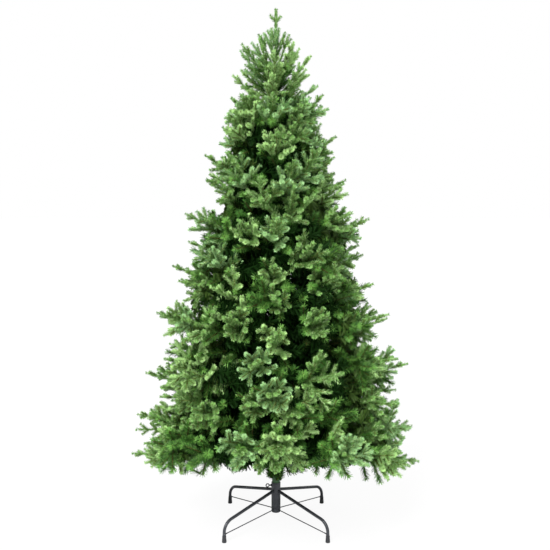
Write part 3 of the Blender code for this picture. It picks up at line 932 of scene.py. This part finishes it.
@dataclass
class Bunch:
    """The sprigs of a tier or of the leader, which has the number after the last tier's, in a field for each style."""

    number: int
    slim_seed: int

    def __post_init__(self) -> None:
        """Prepares the fields."""
        self.fresh = SprigField(FRESH_STYLE, 11 + self.number)
        self.slim = SprigField(SLIM_STYLE, self.slim_seed)
        self.dark = SprigField(DARK_STYLE, 31 + self.number)
        self.deep = SprigField(DEEP_STYLE, 51 + self.number)

    def make(self, name: str, nodes: tuple[str, ...]) -> None:
        """Makes the pieces.

        Args:
            name: What they are named after.
            nodes: The nodes that they stand for.
        """
        stems = ArrayMesh()
        # The deep field's needles and stems take near-black tints, painted shade.
        kinds = (
            ("fresh", (self.slim, self.fresh), Tint.BARK), ("dark", (self.dark,), Tint.WIRE),
            ("deep", (self.deep,), Tint.DEEP),
        )
        for kind, fields, tint in kinds:
            needles = ArrayMesh()
            for sprigs in fields:
                sprigs.build(needles, stems, tint)
            dress(needles.object(f"needles_{kind}_{name}"), nodes)
        dress(stems.object(f"twigs_{name}"), nodes)


@dataclass
class Mass:
    """One mass of a tier: what its twigs carry, the dark tips between them and the dark layers inside, which are
    painted shade.

    Attributes:
        bunch: Takes its sprigs.
        space: The room that it keeps to.
        draw: The chance that its solid draws from too.
        more: The chance of what only the scene has.
    """

    bunch: Bunch
    space: Space
    draw: random.Random
    more: random.Random

    LAST_BROAD_TIER = 3
    FRESH_SHARES = (0.60, 0.60, 0.60, 0.65, 0.85, 0.95)
    UPTURN = (0.0, 0.0, 0.08, 0.18, 0.24, 0.14)
    # Fill tips lie deeper than the clusters: some lose their lighter ends and some take the near-black deep tint, both
    # painted shade.
    TIP_TINTS = ((Tint.DARK, Tint.DARK_TIP), (Tint.DARK, Tint.DARK), (Tint.DEEP, Tint.DARK_CORE))
    TIP_SHARES = (0.25, 0.4, 0.35)
    TIP_SPACING = 0.125
    TIP_ROWS = 3
    LAYERS = (Layer(0.36), Layer(0.56), Layer(0.72, 4, 0.78, 0.10))
    UPPER_LAYERS = (Layer(0.34), Layer(0.48), Layer(0.60))
    LAYER_SPACING = 0.090
    FULL_LENGTH_REACH = 0.26
    HANG = 0.025
    LIFT = 0.6

    def __post_init__(self) -> None:
        """Notes whether the mass is one of the slim upper tiers'."""
        self.high_up = self.space.tier > self.LAST_BROAD_TIER

    def spoke(
        self, twig: Shoot, turn: float, cone: tuple[float, float], foot: tuple[float, float],
    ) -> tuple[Vector, Vector, Vector]:
        """Points one sprig of a ring about a twig.

        Args:
            twig: The twig.
            turn: The sprig's turn about it, in degrees.
            cone: Least and largest angle from the twig, in degrees.
            foot: Least and largest share of the twig's length at which the sprig starts.

        Returns:
            The axis that it leans about, its direction and its root.
        """
        about = turned_from(twig.side, twig.along, turn)
        way = turned_from(twig.along, about, self.more.uniform(*cone))
        return about, way, twig.at(self.more.uniform(*foot))

    def dark_cluster(self, twig: Shoot) -> None:
        """Grows a twig that carries only dark round tips.

        Args:
            twig: The twig's line.
        """
        more, dark, length = self.more, self.bunch.dark, twig.length
        dark.add(twig.root, twig.along, twig.up, length * 0.92, Tint.DARK, Tint.DARK_TIP, more.uniform(-0.1, 0.1))
        phase = more.uniform(0.0, 60.0)
        for step in range(6):
            turn = phase + 60.0 * step + more.uniform(-14.0, 14.0)
            about, way, root = self.spoke(twig, turn, (30.0, 66.0), (0.05, 0.40))
            reach = length * more.uniform(0.42, 0.55)
            dark.add(root, way, about, reach, Tint.DARK, Tint.DARK_TIP, more.uniform(-0.15, 0.15))

    def cluster(self, twig: Shoot, leads: bool) -> None:
        """Grows what one twig carries: a leading spray, a fan of smaller ones and dark tips behind them.

        Args:
            twig: The leading spray's line.
            leads: Whether the leading spray stands far out of its fan. Such a spray and its fan lean to the shade
                tint, painted shade.
        """
        more, fan = self.more, NARROW_FAN if leads else WIDE_FAN
        tint = more.choices(FRESH_TINTS, fan.tints)[0]
        # A leading spray that stands out takes the shade tint: painted shade.
        LEADING_SPRAY.grow(self.bunch.slim, twig, Tint.FRESH_SHADE if leads else tint, more)
        phase = more.uniform(0.0, 90.0)
        for step in range(4):
            _, way, root = self.spoke(twig, phase + 90.0 * step + more.uniform(-14.0, 14.0), fan.cone, fan.foot)
            kind, reach = (HAND, 0.140) if more.random() < fan.hands else (TRIDENT, 0.116)
            reach *= 1.15 if self.high_up else 1.0
            reach = min(reach * more.uniform(0.84, 1.12), twig.length * 0.68)
            way = self.lifted(root, way, reach)
            face = way.cross(way.cross(twig.along)) * -1.0
            face = turned_from(face, way, more.choice((-1.0, 1.0)) * more.uniform(0.0, 38.0))
            kind.grow(self.bunch.fresh, Shoot(root, way, face, reach), tint, more)
        for step in range(3):
            turn = phase + 45.0 + 120.0 * step + more.uniform(-25.0, 25.0)
            _, way, root = self.spoke(twig, turn, (35.0, 70.0), (0.0, 0.25))
            reach = twig.length * more.uniform(0.42, 0.58)
            self.bunch.dark.add(root, way, twig.side, reach, Tint.DARK, Tint.DARK_TIP, more.uniform(-0.1, 0.1))

    def lifted(self, root: Vector, way: Vector, reach: float) -> Vector:
        """Turns a spray's direction up where the spray would hang out below its mass."""
        tip, raised = root + way * reach, Vector((way.x, way.y, abs(way.z) * self.LIFT)).normalized()
        return way if tip.z > self.space.floor(tip) - self.HANG else raised

    def tips(self) -> None:
        """Fills the surface between the clusters with dark round tips, some darkened further as painted shade."""
        space, more, lowest = self.space, self.more, self.space.tier == 0
        columns = space.columns(self.TIP_SPACING, 3)
        for row in range(self.TIP_ROWS):
            for column in range(columns):
                turn = space.turn_of(column + (0.25 if row % 2 else 0.75), columns)
                share = (row + 0.5) / self.TIP_ROWS + more.uniform(-0.08, 0.08)
                share = max(share, 0.30) if lowest else share
                tints = more.choices(self.TIP_TINTS, self.TIP_SHARES)[0]
                if lowest and row == 0:
                    tints = self.TIP_TINTS[0]
                deep = tints[0] is Tint.DEEP
                inset = 0.12 if deep else 0.08 if self.high_up else 0.0
                reach = space.surface(share, turn) * (more.uniform(0.72, 0.88) - inset)
                tip = space.point(share, reach, turn + more.uniform(-0.05, 0.05))
                # At the crown's sides the fill tips' painted shade is lighter.
                if deep and lies_aside(tip, 0.75):
                    tints = (Tint.DARK_CORE, Tint.DARK)
                rise = space.rise(share) + more.uniform(-0.7, 0.5)
                way = heading(math.atan2(tip.y, tip.x) + more.uniform(-0.6, 0.6), rise)
                length = min(more.uniform(0.10, 0.14), reach * 0.6)
                root = tip - way * length
                way = self.lifted(root, way, length)
                self.bunch.dark.add(root, way, WORLD_UP, length, *tints, more.uniform(-0.12, 0.08))

    def layers(self) -> None:
        """Fills the inside with layers of near-black needles, painted shade, whose sprigs lie across the way out."""
        space, more = self.space, self.more
        for layer in self.UPPER_LAYERS if self.high_up else self.LAYERS:
            columns = space.columns(self.LAYER_SPACING, 2, layer.depth)
            for row in range(layer.rows):
                for column in range(columns):
                    turn = space.turn_of(column + more.random(), columns)
                    share = (row + more.uniform(0.2, 0.8)) / layer.rows
                    reach = space.surface(share, turn) * (layer.depth + more.uniform(-0.08, 0.06))
                    share = min(max(share, 0.50 if space.tier == 0 else 0.08), layer.high)
                    middle = space.point(share, reach, turn)
                    azimuth = math.atan2(middle.y, middle.x)
                    way = heading(azimuth + math.pi / 2, more.uniform(-0.5, 0.5))
                    length = min(layer.length, reach * 0.8)
                    # The layers' needles are near-black, painted shade; the outer layers at the crown's sides take a
                    # lighter painted shade.
                    tint = Tint.DARK_CORE if layer.depth > 0.55 and lies_aside(middle, 0.75) else Tint.DEEP
                    root = middle - way * length * 0.5
                    self.bunch.deep.add(root, way, polar(azimuth, 1.0, 0.2), length, tint, tint)

    def twig(self, index: int, aim: Vector, named: bool) -> None:
        """Grows one twig with what it carries, and the limb that carries it.

        Args:
            index: Number of the twig.
            aim: Where it ends.
            named: Whether that is one of the named tips.
        """
        space, draw, more, outer = self.space, self.draw, self.more, self.space.surface(0.5)
        share = space.share_at(aim)
        azimuth = math.atan2(aim.y, aim.x) + draw.uniform(-0.12, 0.12)
        rise = space.rise(share) + draw.uniform(-0.10, 0.10)
        sideways = lies_aside(aim, 0.8)
        rise += 0.0 if sideways else self.UPTURN[space.tier]
        shows = aim.y < 0.0 and not self.high_up and not named
        if shows and not sideways:
            azimuth += more.choice((-1.0, 1.0)) * more.uniform(0.25, 0.60)
        along = heading(azimuth, rise)
        up = Matrix.Rotation(draw.uniform(-1.0, 1.0), 3, along) @ WORLD_UP
        length = space.form.spray_length * draw.uniform(0.92, 1.08) * min(1.0, outer / self.FULL_LENGTH_REACH)
        fork = space.point(0.5, outer * draw.uniform(0.34, 0.46))
        if index % 3 == 0:
            # The solid draws the lie of a side blade here. Drawing as often keeps the next twig in step with it.
            for _ in range(3):
                draw.uniform(0.0, 1.0)
        # Sprays at the crown's sides mostly take the leading form, whose shade tints paint shade on the sides.
        beside = sideways and more.random() < 0.8
        twig = Shoot(aim - along * length, along, up, length)
        if named or beside or more.random() < self.FRESH_SHARES[space.tier] * (0.75 if shows else 1.0):
            self.cluster(twig, named or beside or self.high_up)
        else:
            self.dark_cluster(twig)
        limb = aim - along * (length * 0.7) - fork
        # Limbs inside take the near-black tint, painted shade; only the lowest tier's lower limbs keep the dark
        # needles' own green.
        low = space.tier == 0 and share < 0.5
        sprigs, tint = (self.bunch.dark, Tint.DARK) if low else (self.bunch.deep, Tint.DEEP)
        sprigs.add(fork, limb, WORLD_UP, limb.length, tint, tint, more.uniform(-0.05, 0.05))

    def build(self) -> None:
        """Grows the mass by the rule of its solid."""
        space = self.space
        foot = space.point(0.5, space.form.pole_radius(space.point(0.5, 0.0).z))
        stem = space.point(0.5, space.surface(0.5) * 0.66) - foot
        # The mass's stem takes the near-black tint: painted shade.
        self.bunch.deep.add(foot, stem, WORLD_UP, stem.length, Tint.DEEP, Tint.DEEP)
        for index, (aim, named) in enumerate(space.aims(self.draw)):
            self.twig(index, aim, named)
        self.tips()
        self.layers()


@dataclass
class TierFoliage:
    """The needles, twigs and limbs of one tier."""

    form: CrownForm
    tier: int

    LUMPS = 25

    def build(self) -> None:
        """Grows the tier's masses and makes its pieces."""
        bunch = Bunch(self.tier, 21 + self.tier)
        nodes = []
        for sector in range(self.form.masses[self.tier]):
            nodes.append(f"foliage_{self.tier + 1}_{SECTORS[sector]}")
            draw = random.Random(61 * (self.tier + 1) + sector)
            # The solid draws the sizes of its lumps first. Drawing them too keeps the twigs in step with it.
            lumps = [draw.uniform(0.92, 1.04) for _ in range(self.LUMPS)]
            more = random.Random(997 * (self.tier + 1) + sector + round(100 * sum(lumps)))
            Mass(bunch, Space(self.form, self.tier, sector), draw, more).build()
        bunch.make(f"tier_{self.tier + 1}", tuple(nodes))


@dataclass
class Leader:
    """The top of the tree: an upright stem with rings of rising sprays, a forked tip and a collar of tips.

    Attributes:
        rings: Height, number, length and rise in degrees of the sprays of each ring.
        side_tips: The tips that show at the sides, as the distance to the right and the height.
        pull: How near to its own tip a spray looks for a side tip.
        tip_root: Height at which the needles of the upright tip begin.
        fork_depth: How far under the top the tip forks.
    """

    form: CrownForm
    foot: float = 1.6253
    rings: tuple[tuple[float, int, float, float], ...] = (
        (1.655, 7, 0.245, 50.0), (1.720, 6, 0.235, 51.0), (1.785, 6, 0.215, 52.0), (1.850, 5, 0.160, 66.0),
        (1.900, 4, 0.120, 68.0), (1.950, 3, 0.075, 72.0),
    )
    side_tips: Pairs = (
        (-0.100, 1.972), (-0.143, 1.943), (-0.146, 1.857), (-0.184, 1.835), (-0.210, 1.725), (0.100, 1.946),
        (0.143, 1.920), (0.131, 1.852), (0.173, 1.796), (0.195, 1.724), (-0.038, 2.017), (0.037, 1.996),
    )
    pull: float = 0.11
    collar_tips: int = 10
    tip_root: float = 1.90
    fork_depth: float = 0.054

    def __post_init__(self) -> None:
        """Prepares the sprigs, the two sources of chance and the side tips that no spray reaches yet."""
        self.bunch = Bunch(len(self.form.masses), 17)
        self.draw, self.more = random.Random(7), random.Random(71)
        self.free = [Vector((side, 0.0, height)) for side, height in self.side_tips]

    def aimed(self, shoot: Shoot) -> Shoot:
        """Points a spray at a side tip, where one lies near its own tip and isn't reached yet.

        Args:
            shoot: The spray's line.

        Returns:
            The line that it takes.
        """
        tip = shoot.root + shoot.along * shoot.length
        near = [spot for spot in self.free if (spot - tip).length < self.pull]
        if not near:
            return shoot
        spot = min(near, key=lambda each: (each - tip).length)
        self.free.remove(spot)
        rise = math.radians(26.0 + 30.0 * min(max((spot.z - 1.75) / 0.20, 0.0), 1.0))
        root = Vector((0.0, 0.0, max(spot.z - abs(spot.x) * math.tan(rise), self.foot + 0.004)))
        return Shoot(root, (spot - root).normalized(), shoot.up, (spot - root).length)

    def tip(self) -> None:
        """Grows the upright stem and its forked tip."""
        root, fork = Vector((0.0, 0.0, self.tip_root)), Vector((0.0, 0.0, self.form.height - self.fork_depth))
        slim = self.bunch.slim
        for side in (FRONT, Vector((1.0, 0.3, 0.0))):
            slim.add(root, WORLD_UP, side, self.form.height - self.tip_root, Tint.FRESH_SHADE, Tint.FRESH)
        for turn, length in ((-42.0, 0.040), (42.0, 0.034)):
            way = turned_from(WORLD_UP, Vector((0.0, 1.0, 0.0)), turn)
            slim.add(fork, way, FRONT, length, Tint.FRESH_SHADE, Tint.FRESH)
        # A near-black sprig up the leader's middle: painted shade.
        self.bunch.deep.add(Vector((0.0, 0.0, self.foot)), WORLD_UP, FRONT, 0.28, Tint.DEEP, Tint.DEEP)

    def spray(self, ring: int, step: int) -> None:
        """Grows one spray of a ring, and smaller ones beside and under it where it is long.

        Args:
            ring: Number of the ring.
            step: Number of the spray in its ring.
        """
        draw, more, slim = self.draw, self.more, self.bunch.slim
        height, count, length, rise = self.rings[ring]
        azimuth = math.tau * (step + 0.5 * (ring % 2)) / count + draw.uniform(-0.10, 0.10)
        along = heading(azimuth, math.radians(rise + draw.uniform(-3.0, 3.0)))
        up = Matrix.Rotation(draw.uniform(-0.8, 0.8), 3, along) @ polar(azimuth + math.pi, 1.0, 0.6)
        main = self.aimed(Shoot(polar(azimuth, 0.001, height), along, up, length * draw.uniform(0.93, 1.07)))
        along, reach = main.along, main.length
        tint = more.choices(FRESH_TINTS, (0.3, 0.2, 0.5))[0]
        kind = RISING_SPRAY if reach > 0.18 else SMALL_SPRAY if reach > 0.14 else SINGLE_TIP
        kind.grow(slim, main, tint, more)
        if reach <= 0.17:
            return
        for hand in (1.0, -1.0):
            way = turned_from(along, WORLD_UP, hand * more.uniform(14.0, 30.0))
            way = (way - WORLD_UP * more.uniform(0.05, 0.45)).normalized()
            root = main.root + along * reach * more.uniform(0.05, 0.25)
            kind = SMALL_SPRAY if more.random() < 0.5 else SINGLE_TIP
            kind.grow(slim, Shoot(root, way, up, reach * more.uniform(0.46, 0.60)), tint, more)
        way = (along - WORLD_UP * more.uniform(0.2, 0.9)).normalized()
        root = main.root + along * reach * more.uniform(0.0, 0.2)
        self.bunch.dark.add(root, way, main.side, reach * more.uniform(0.40, 0.56), Tint.DARK, Tint.DARK_TIP)

    def collar(self) -> None:
        """Grows the tips round its foot, fresh and dark ones in turn."""
        more = self.more
        for step in range(self.collar_tips):
            azimuth = math.tau * (step + 0.5) / self.collar_tips
            along = heading(azimuth, math.radians(more.uniform(10.0, 32.0)))
            root = polar(azimuth, 0.012, self.foot + more.uniform(0.01, 0.05))
            if step % 2:
                self.bunch.dark.add(root, along, WORLD_UP, more.uniform(0.14, 0.17), Tint.DARK, Tint.DARK_TIP)
            else:
                shoot = Shoot(root, along, WORLD_UP, more.uniform(0.18, 0.21))
                RISING_SPRAY.grow(self.bunch.slim, shoot, Tint.FRESH_SHADE, more)

    def build(self) -> None:
        """Grows the leader and makes its pieces."""
        self.tip()
        for ring, (_, count, _, _) in enumerate(self.rings):
            for step in range(count):
                self.spray(ring, step)
        self.collar()
        self.bunch.make("top", ("foliage_top",))


@dataclass
class PoleWrap:
    """The sleeve of needles round the foot of the pole, above the stand."""

    foot: float = 0.172
    top: float = 0.262
    sprigs: int = 26
    golden_share: float = 0.381966
    least_radius: float = 0.0175
    flare: float = 0.006

    def build(self) -> None:
        """Grows the sleeve's needles and makes its pieces."""
        draw = random.Random(5)
        dark = SprigField(DARK_STYLE, 91)
        for step in range(self.sprigs):
            azimuth = math.tau * step * self.golden_share
            height = self.foot + 0.006 + (self.top - self.foot) * step / self.sprigs
            radius = self.least_radius + self.flare * (height - self.foot) / (self.top - self.foot)
            way = polar(azimuth + 1.2, 0.55, draw.uniform(0.3, 1.1))
            dark.add(polar(azimuth, radius, height), way, polar(azimuth, 1.0, 0.0), 0.040, Tint.DARK, Tint.DARK_TIP)
        needles, stems = ArrayMesh(), ArrayMesh()
        dark.build(needles, stems, Tint.WIRE)
        dress(needles.object("needles_pole_wrap"), ("pole_wrap",))
        dress(stems.object("twigs_pole_wrap"), ("pole_wrap",))


@dataclass
class Limbs:
    """The steel pole with its joints, the collars that hold the boughs, and the wrapped boughs."""

    form: CrownForm
    foot: float = 0.064
    bough_root: float = 0.0060
    bough_tip: float = 0.0045
    bough_steps: int = 20
    film_step: float = 0.00045

    def pole(self) -> None:
        """Makes the pole: three tubes with rolled shoulders, and a collar under each tier's boughs."""
        work = Modeller("pole_tube", (POLE_PAINT,))
        profile = [(0.0, self.foot), (0.0145, self.foot), (0.0160, self.foot + 0.0015)]
        sections = self.form.pole_sections
        for (radius, top), (above, _) in zip(sections, sections[1:]):
            profile += [(radius, top - 0.004), (radius - 0.0006, top - 0.0012)]
            profile += [(above + 0.0004, top), (above, top + 0.001)]
        radius, top = sections[-1]
        profile += [(radius, top - 0.003), (radius - 0.002, top), (0.0, top)]
        work.turned(profile)
        for tier in range(self.form.bough_tiers):
            height = Space(self.form, tier, 0).point(0.5, 0.0).z
            hub = self.form.pole_radius(height)
            inner, outer, low, high = hub + 0.0001, hub + 0.0025, height - 0.022, height - 0.010
            work.turned([(inner, low), (outer, low), (outer, high), (inner, high)], steps=40, bevel=0.0006)
        work.piece("pole_paint", ("pole",))

    def boughs(self) -> None:
        """Makes the bare parts of the boughs, each a wire limb wound with film, and their pins."""
        form, steps = self.form, self.bough_steps
        for tier in range(form.bough_tiers):
            names = []
            work = Modeller(f"boughs_tier_{tier + 1}", (BOUGH_FILM, WORN_EDGE))
            for sector in range(form.masses[tier]):
                space = Space(form, tier, sector)
                names.append(f"bough_{tier + 1}_{SECTORS[sector]}")
                start = form.pole_radius(space.point(0.5, 0.0).z) + 0.001
                path, radii = [], []
                for step in range(steps + 1):
                    path.append(space.point(0.5, start + (form.bough_length - start) * step / steps))
                    taper = (self.bough_tip - self.bough_root) * (step / steps)
                    radii.append(self.bough_root + taper - (self.film_step if step % 2 else 0.0))
                work.rod(path, radii, 0, 12)
                pin = space.point(0.5, start + 0.012)
                work.rod([pin - space.across * 0.009, pin + space.across * 0.009], [0.0016, 0.0016], 1, 12)
            work.piece("bough_wrap", tuple(names))

    def build(self) -> None:
        """Makes the pole and the boughs."""
        self.pole()
        self.boughs()


@dataclass
class Stand:
    """The steel stand: hub, end cap, four bent legs, stays, foot caps and the eye screw that clamps the pole."""

    foot_reach: float = 0.2885
    leg_radius: float = 0.00625
    leg_root: float = 0.135
    leg_shoulder: float = 0.085
    bend_radius: float = 0.048
    bend_steps: int = 16
    hub_radius: float = 0.0190
    hub_bore: float = 0.0166
    hub_foot: float = 0.0635
    hub_top: float = 0.1715
    cap_foot: float = 0.0435
    stay_radius: float = 0.0020
    stay_hub: float = 0.0550
    stay_leg: float = 0.0325
    screw_height: float = 0.159
    screw_azimuth: float = math.radians(190.0)
    socket_azimuth: float = math.radians(270.0)
    azimuths: tuple[float, ...] = tuple(math.radians(45.0 + 90.0 * index) for index in range(4))

    def leg_path(self, azimuth: float) -> list[Vector]:
        """Lays a leg's centre line: out of the hub, down a slope, round the bend and straight to the floor.

        Args:
            azimuth: The leg's azimuth.

        Returns:
            The points.
        """
        centre = self.foot_reach - self.bend_radius
        first = math.pi / 2 - math.atan2(self.leg_root - self.leg_shoulder, centre - self.hub_radius)
        base = self.leg_shoulder - self.bend_radius * math.sin(first)
        points = [(self.hub_radius + 0.0008, self.leg_root + 0.0005)]
        for step in range(self.bend_steps + 1):
            turn = first * (1.0 - step / self.bend_steps)
            points.append((centre + self.bend_radius * math.cos(turn), base + self.bend_radius * math.sin(turn)))
        points.append((self.foot_reach, 0.006))
        return [polar(azimuth, radius, height) for radius, height in points]

    def hub(self) -> None:
        """Makes the hub tube with its rolled ends, weld beads round the legs' roots and the second screw's socket."""
        work = Modeller("stand_hub_tube", (POWDER_COAT, WORN_EDGE))
        bore, radius, foot, top = self.hub_bore, self.hub_radius, self.hub_foot, self.hub_top
        work.turned([(bore, foot), (radius, foot), (radius, top), (bore, top)], steps=72, bevel=0.0007)
        for azimuth in self.azimuths:
            path = self.leg_path(azimuth)
            along = (path[1] - path[0]).normalized()
            work.ring(path[0] + along * 0.0006, along, self.leg_radius + 0.0003, 0.0012)
        socket = [(0.0, -0.001), (0.0046, -0.001), (0.0046, 0.0016), (0.0032, 0.0016), (0.0032, 0.0002), (0.0, 0.0002)]
        centre = polar(self.socket_azimuth, radius, self.screw_height)
        work.turned(socket, 1, 24, centre, polar(self.socket_azimuth, 1.0, 0.0), 0.0003)
        work.piece("stand_steel", ("stand_hub",))

    def end_cap(self) -> None:
        """Makes the collar that closes the hub and holds the stays, with its groove and rounded foot."""
        work = Modeller("stand_end_collar", (POWDER_COAT, WORN_EDGE))
        foot, radius, top = self.cap_foot, self.hub_radius, self.hub_foot - 0.0003
        work.turned([
            (0.0, foot), (0.006, foot + 0.0002), (radius - 0.0030, foot + 0.0004), (radius - 0.0012, foot + 0.0012),
            (radius - 0.0002, foot + 0.0028), (radius, foot + 0.0048), (radius, top - 0.0016),
            (radius - 0.0011, top - 0.0010), (radius - 0.0011, top), (0.0, top),
        ], 0, 72)
        stud = [(0.0, foot - 0.0006), (0.0035, foot - 0.0006), (0.0045, foot + 0.0006), (0.0, foot + 0.0010)]
        work.turned(stud, 1, 24)
        work.piece("stand_steel", ("stand_end_cap",), 50.0)

    def legs(self) -> None:
        """Makes each leg with its two rivet heads, its stay and its foot cap."""
        for index, azimuth in enumerate(self.azimuths):
            work = Modeller(f"stand_leg_{index + 1}", (POWDER_COAT, WORN_EDGE))
            path = self.leg_path(azimuth)
            work.rod(path, [self.leg_radius] * len(path), 0, 32)
            across = polar(azimuth + math.pi / 2, 1.0, 0.0)
            pin = polar(azimuth, self.foot_reach, self.stay_leg)
            rivet = [(0.0, 0.0022), (0.0018, 0.0019), (0.0030, 0.0010)]
            rivet += [(0.0034, 0.0), (0.0034, -0.0008), (0.0, -0.0008)]
            for hand in (1.0, -1.0):
                work.turned(rivet, 1, 20, pin + across * hand * self.leg_radius, across * hand)
            work.piece("stand_steel", (f"leg_{index + 1}",))
            self.stay(index)
            self.foot_cap(index)

    def stay(self, index: int) -> None:
        """Makes a stay: a rod from the collar to the leg, thicker at its ends.

        Args:
            index: Number of the leg.
        """
        azimuth = self.azimuths[index]
        work = Modeller(f"stand_stay_{index + 1}", (POWDER_COAT,))
        near = polar(azimuth, self.hub_radius + 0.0003, self.stay_hub)
        far = polar(azimuth, self.foot_reach - self.leg_radius - 0.0002, self.stay_leg)
        shares = (0.0, 0.02, 0.5, 0.955, 0.965, 1.0)
        radii = [self.stay_radius * size for size in (1.15, 1.0, 1.0, 1.0, 1.25, 1.25)]
        work.rod([near.lerp(far, share) for share in shares], radii, 0, 16)
        work.piece("stand_steel", (f"stay_{index + 1}",))

    def foot_cap(self, index: int) -> None:
        """Makes a moulded foot cap: a flared sleeve with a lip, fine ribs and a rounded sole.

        Args:
            index: Number of the leg.
        """
        work = Modeller(f"stand_foot_{index + 1}", (FOOT_PLASTIC,))
        profile = [(0.0, 0.0), (0.0078, 0.0), (0.0088, 0.0006), (0.0093, 0.0018), (0.0092, 0.0040)]
        for step in range(4):
            height = 0.0062 + 0.0040 * step
            flare = 0.0091 - 0.00032 * step
            profile += [(flare, height), (flare - 0.0004, height + 0.0008), (flare - 0.0003, height + 0.0022)]
        profile += [(0.0079, 0.0236), (0.0081, 0.0256), (0.0077, 0.0270)]
        profile += [(0.0067, 0.0268), (0.0065, 0.0230), (0.0, 0.0230)]
        work.turned(profile, centre=polar(self.azimuths[index], self.foot_reach, 0.0))
        work.piece("foot_rubber", (f"foot_cap_{index + 1}",), 60.0)

    def screw(self) -> None:
        """Makes the eye screw that clamps the pole: a threaded shank, a nut on the hub and a ring of wire."""
        work = Modeller("stand_eye_screw", (WORN_EDGE,))
        out, centre = polar(self.screw_azimuth, 1.0, 0.0), Vector((0.0, 0.0, self.screw_height))
        profile = [(0.0, 0.0165), (0.0026, 0.0165)]
        for step in range(12):
            height = 0.0170 + 0.0010 * step
            profile += [(0.0029, height), (0.0025, height + 0.0005)]
        profile += [(0.0026, 0.0300), (0.0, 0.0300)]
        work.turned(profile, 0, 20, centre, out)
        nut = [(0.0030, 0.0191), (0.0058, 0.0191), (0.0058, 0.0218), (0.0030, 0.0218)]
        work.turned(nut, 0, 6, centre, out, 0.0002)
        eye = polar(self.screw_azimuth, 0.0355, self.screw_height)
        work.ring(eye, out.cross(WORLD_UP).normalized(), 0.0065, 0.0022)
        work.piece("stand_steel", ("clamp_screw",))

    def build(self) -> None:
        """Makes every piece of the stand."""
        self.hub()
        self.end_cap()
        self.legs()
        self.screw()


@dataclass
class Studio:
    """The white studio: paper floor, soft lights and the camera.

    Attributes:
        camera_tilt: How far the camera looks down, in degrees.
        lens: Its focal length in millimetres.
        white: Brightness of the background and the lit floor, as the camera sees them.
        haze: Strength of the light that comes from all round.
        floor_glow: The share of the floor that is lit from beneath, which keeps it as white as the background.
    """

    camera_place: tuple[float, float, float] = (-0.004, -3.195, 1.3345)
    camera_tilt: float = 5.27
    lens: float = 51.49
    floor_half: float = 60.0
    white: float = 1.0
    haze: float = 0.19
    floor_glow: float = 0.93

    def floor(self) -> None:
        """Lays the pale floor, a translucent sheet whose glow only the camera sees."""
        sheet = bmesh.new()
        bmesh.ops.create_grid(sheet, x_segments=2, y_segments=2, size=self.floor_half)
        mesh = bpy.data.meshes.new("studio_floor")
        sheet.to_mesh(mesh)
        sheet.free()
        paper = FLOOR_PAPER.material()
        nodes, links = paper.node_tree.nodes, paper.node_tree.links
        glow = filled(nodes.new("ShaderNodeEmission"), {"Color": WHITE, "Strength": self.white})
        share = filled(nodes.new("ShaderNodeMath"), {1: self.floor_glow})
        share.operation = "MULTIPLY"
        links.new(nodes.new("ShaderNodeLightPath").outputs["Is Camera Ray"], share.inputs[0])
        mix = nodes.new("ShaderNodeMixShader")
        links.new(share.outputs["Value"], mix.inputs["Fac"])
        links.new(nodes["Principled BSDF"].outputs["BSDF"], mix.inputs[1])
        links.new(glow.outputs["Emission"], mix.inputs[2])
        links.new(mix.outputs["Shader"], nodes["Material Output"].inputs["Surface"])
        mesh.materials.append(paper)
        linked("studio_floor", mesh)

    def lamp(self, name: str, towards: tuple[float, float, float], spread: float, strength: float) -> None:
        """Hangs a broad lamp, so far off that it lights foot and top alike.

        Args:
            name: Name of the lamp.
            towards: Direction from the tree to the lamp.
            spread: How wide it looks from the tree, in degrees.
            strength: Its strength in watts on a square metre.
        """
        light = bpy.data.lights.new(name, "SUN")
        light.angle = math.radians(spread)
        light.energy = strength
        lamp = bpy.data.objects.new(name, light)
        lamp.rotation_euler = (-Vector(towards)).to_track_quat("-Z", "Y").to_euler()
        bpy.context.scene.collection.objects.link(lamp)

    def sky(self) -> None:
        """Sets the soft light from all round, and the white background that the camera sees."""
        world = bpy.data.worlds.new("studio_white")
        world.use_nodes = True
        nodes, links = world.node_tree.nodes, world.node_tree.links
        sky = filled(nodes["Background"], {"Color": WHITE})
        level = filled(nodes.new("ShaderNodeMapRange"), {"To Min": self.haze, "To Max": self.white})
        links.new(nodes.new("ShaderNodeLightPath").outputs["Is Camera Ray"], level.inputs["Value"])
        links.new(level.outputs["Result"], sky.inputs["Strength"])
        bpy.context.scene.world = world

    def camera(self) -> None:
        """Sets the camera at the photograph's viewing angle."""
        lens = bpy.data.cameras.new("studio_camera")
        lens.lens = self.lens
        lens.sensor_width = 36.0
        lens.clip_end = 200.0
        camera = bpy.data.objects.new("studio_camera", lens)
        camera.location = self.camera_place
        camera.rotation_euler = (math.radians(90.0 - self.camera_tilt), 0.0, 0.0)
        bpy.context.scene.collection.objects.link(camera)
        bpy.context.scene.camera = camera

    def build(self) -> None:
        """Sets up floor, background, lamps and camera."""
        self.floor()
        self.sky()
        self.lamp("key_lamp", (-0.75, -1.35, 1.5), 30.0, 5.3)
        self.lamp("fill_lamp", (1.3, -1.3, 1.0), 60.0, 1.4)
        self.lamp("back_lamp", (0.5, 1.4, 1.2), 50.0, 2.0)
        scene = bpy.context.scene
        scene.view_settings.view_transform = "Standard"
        scene.view_settings.look = "None"
        self.camera()


def main() -> None:
    """Builds the studio, the stand, the limbs and the crown in order."""
    logging.basicConfig(level=logging.INFO, format="%(name)s %(message)s")
    form = CrownForm()
    Studio().build()
    Stand().build()
    Limbs(form).build()
    PoleWrap().build()
    for tier in range(len(form.masses)):
        TierFoliage(form, tier).build()
    Leader(form).build()
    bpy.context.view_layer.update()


if __name__ == "__main__":
    main()
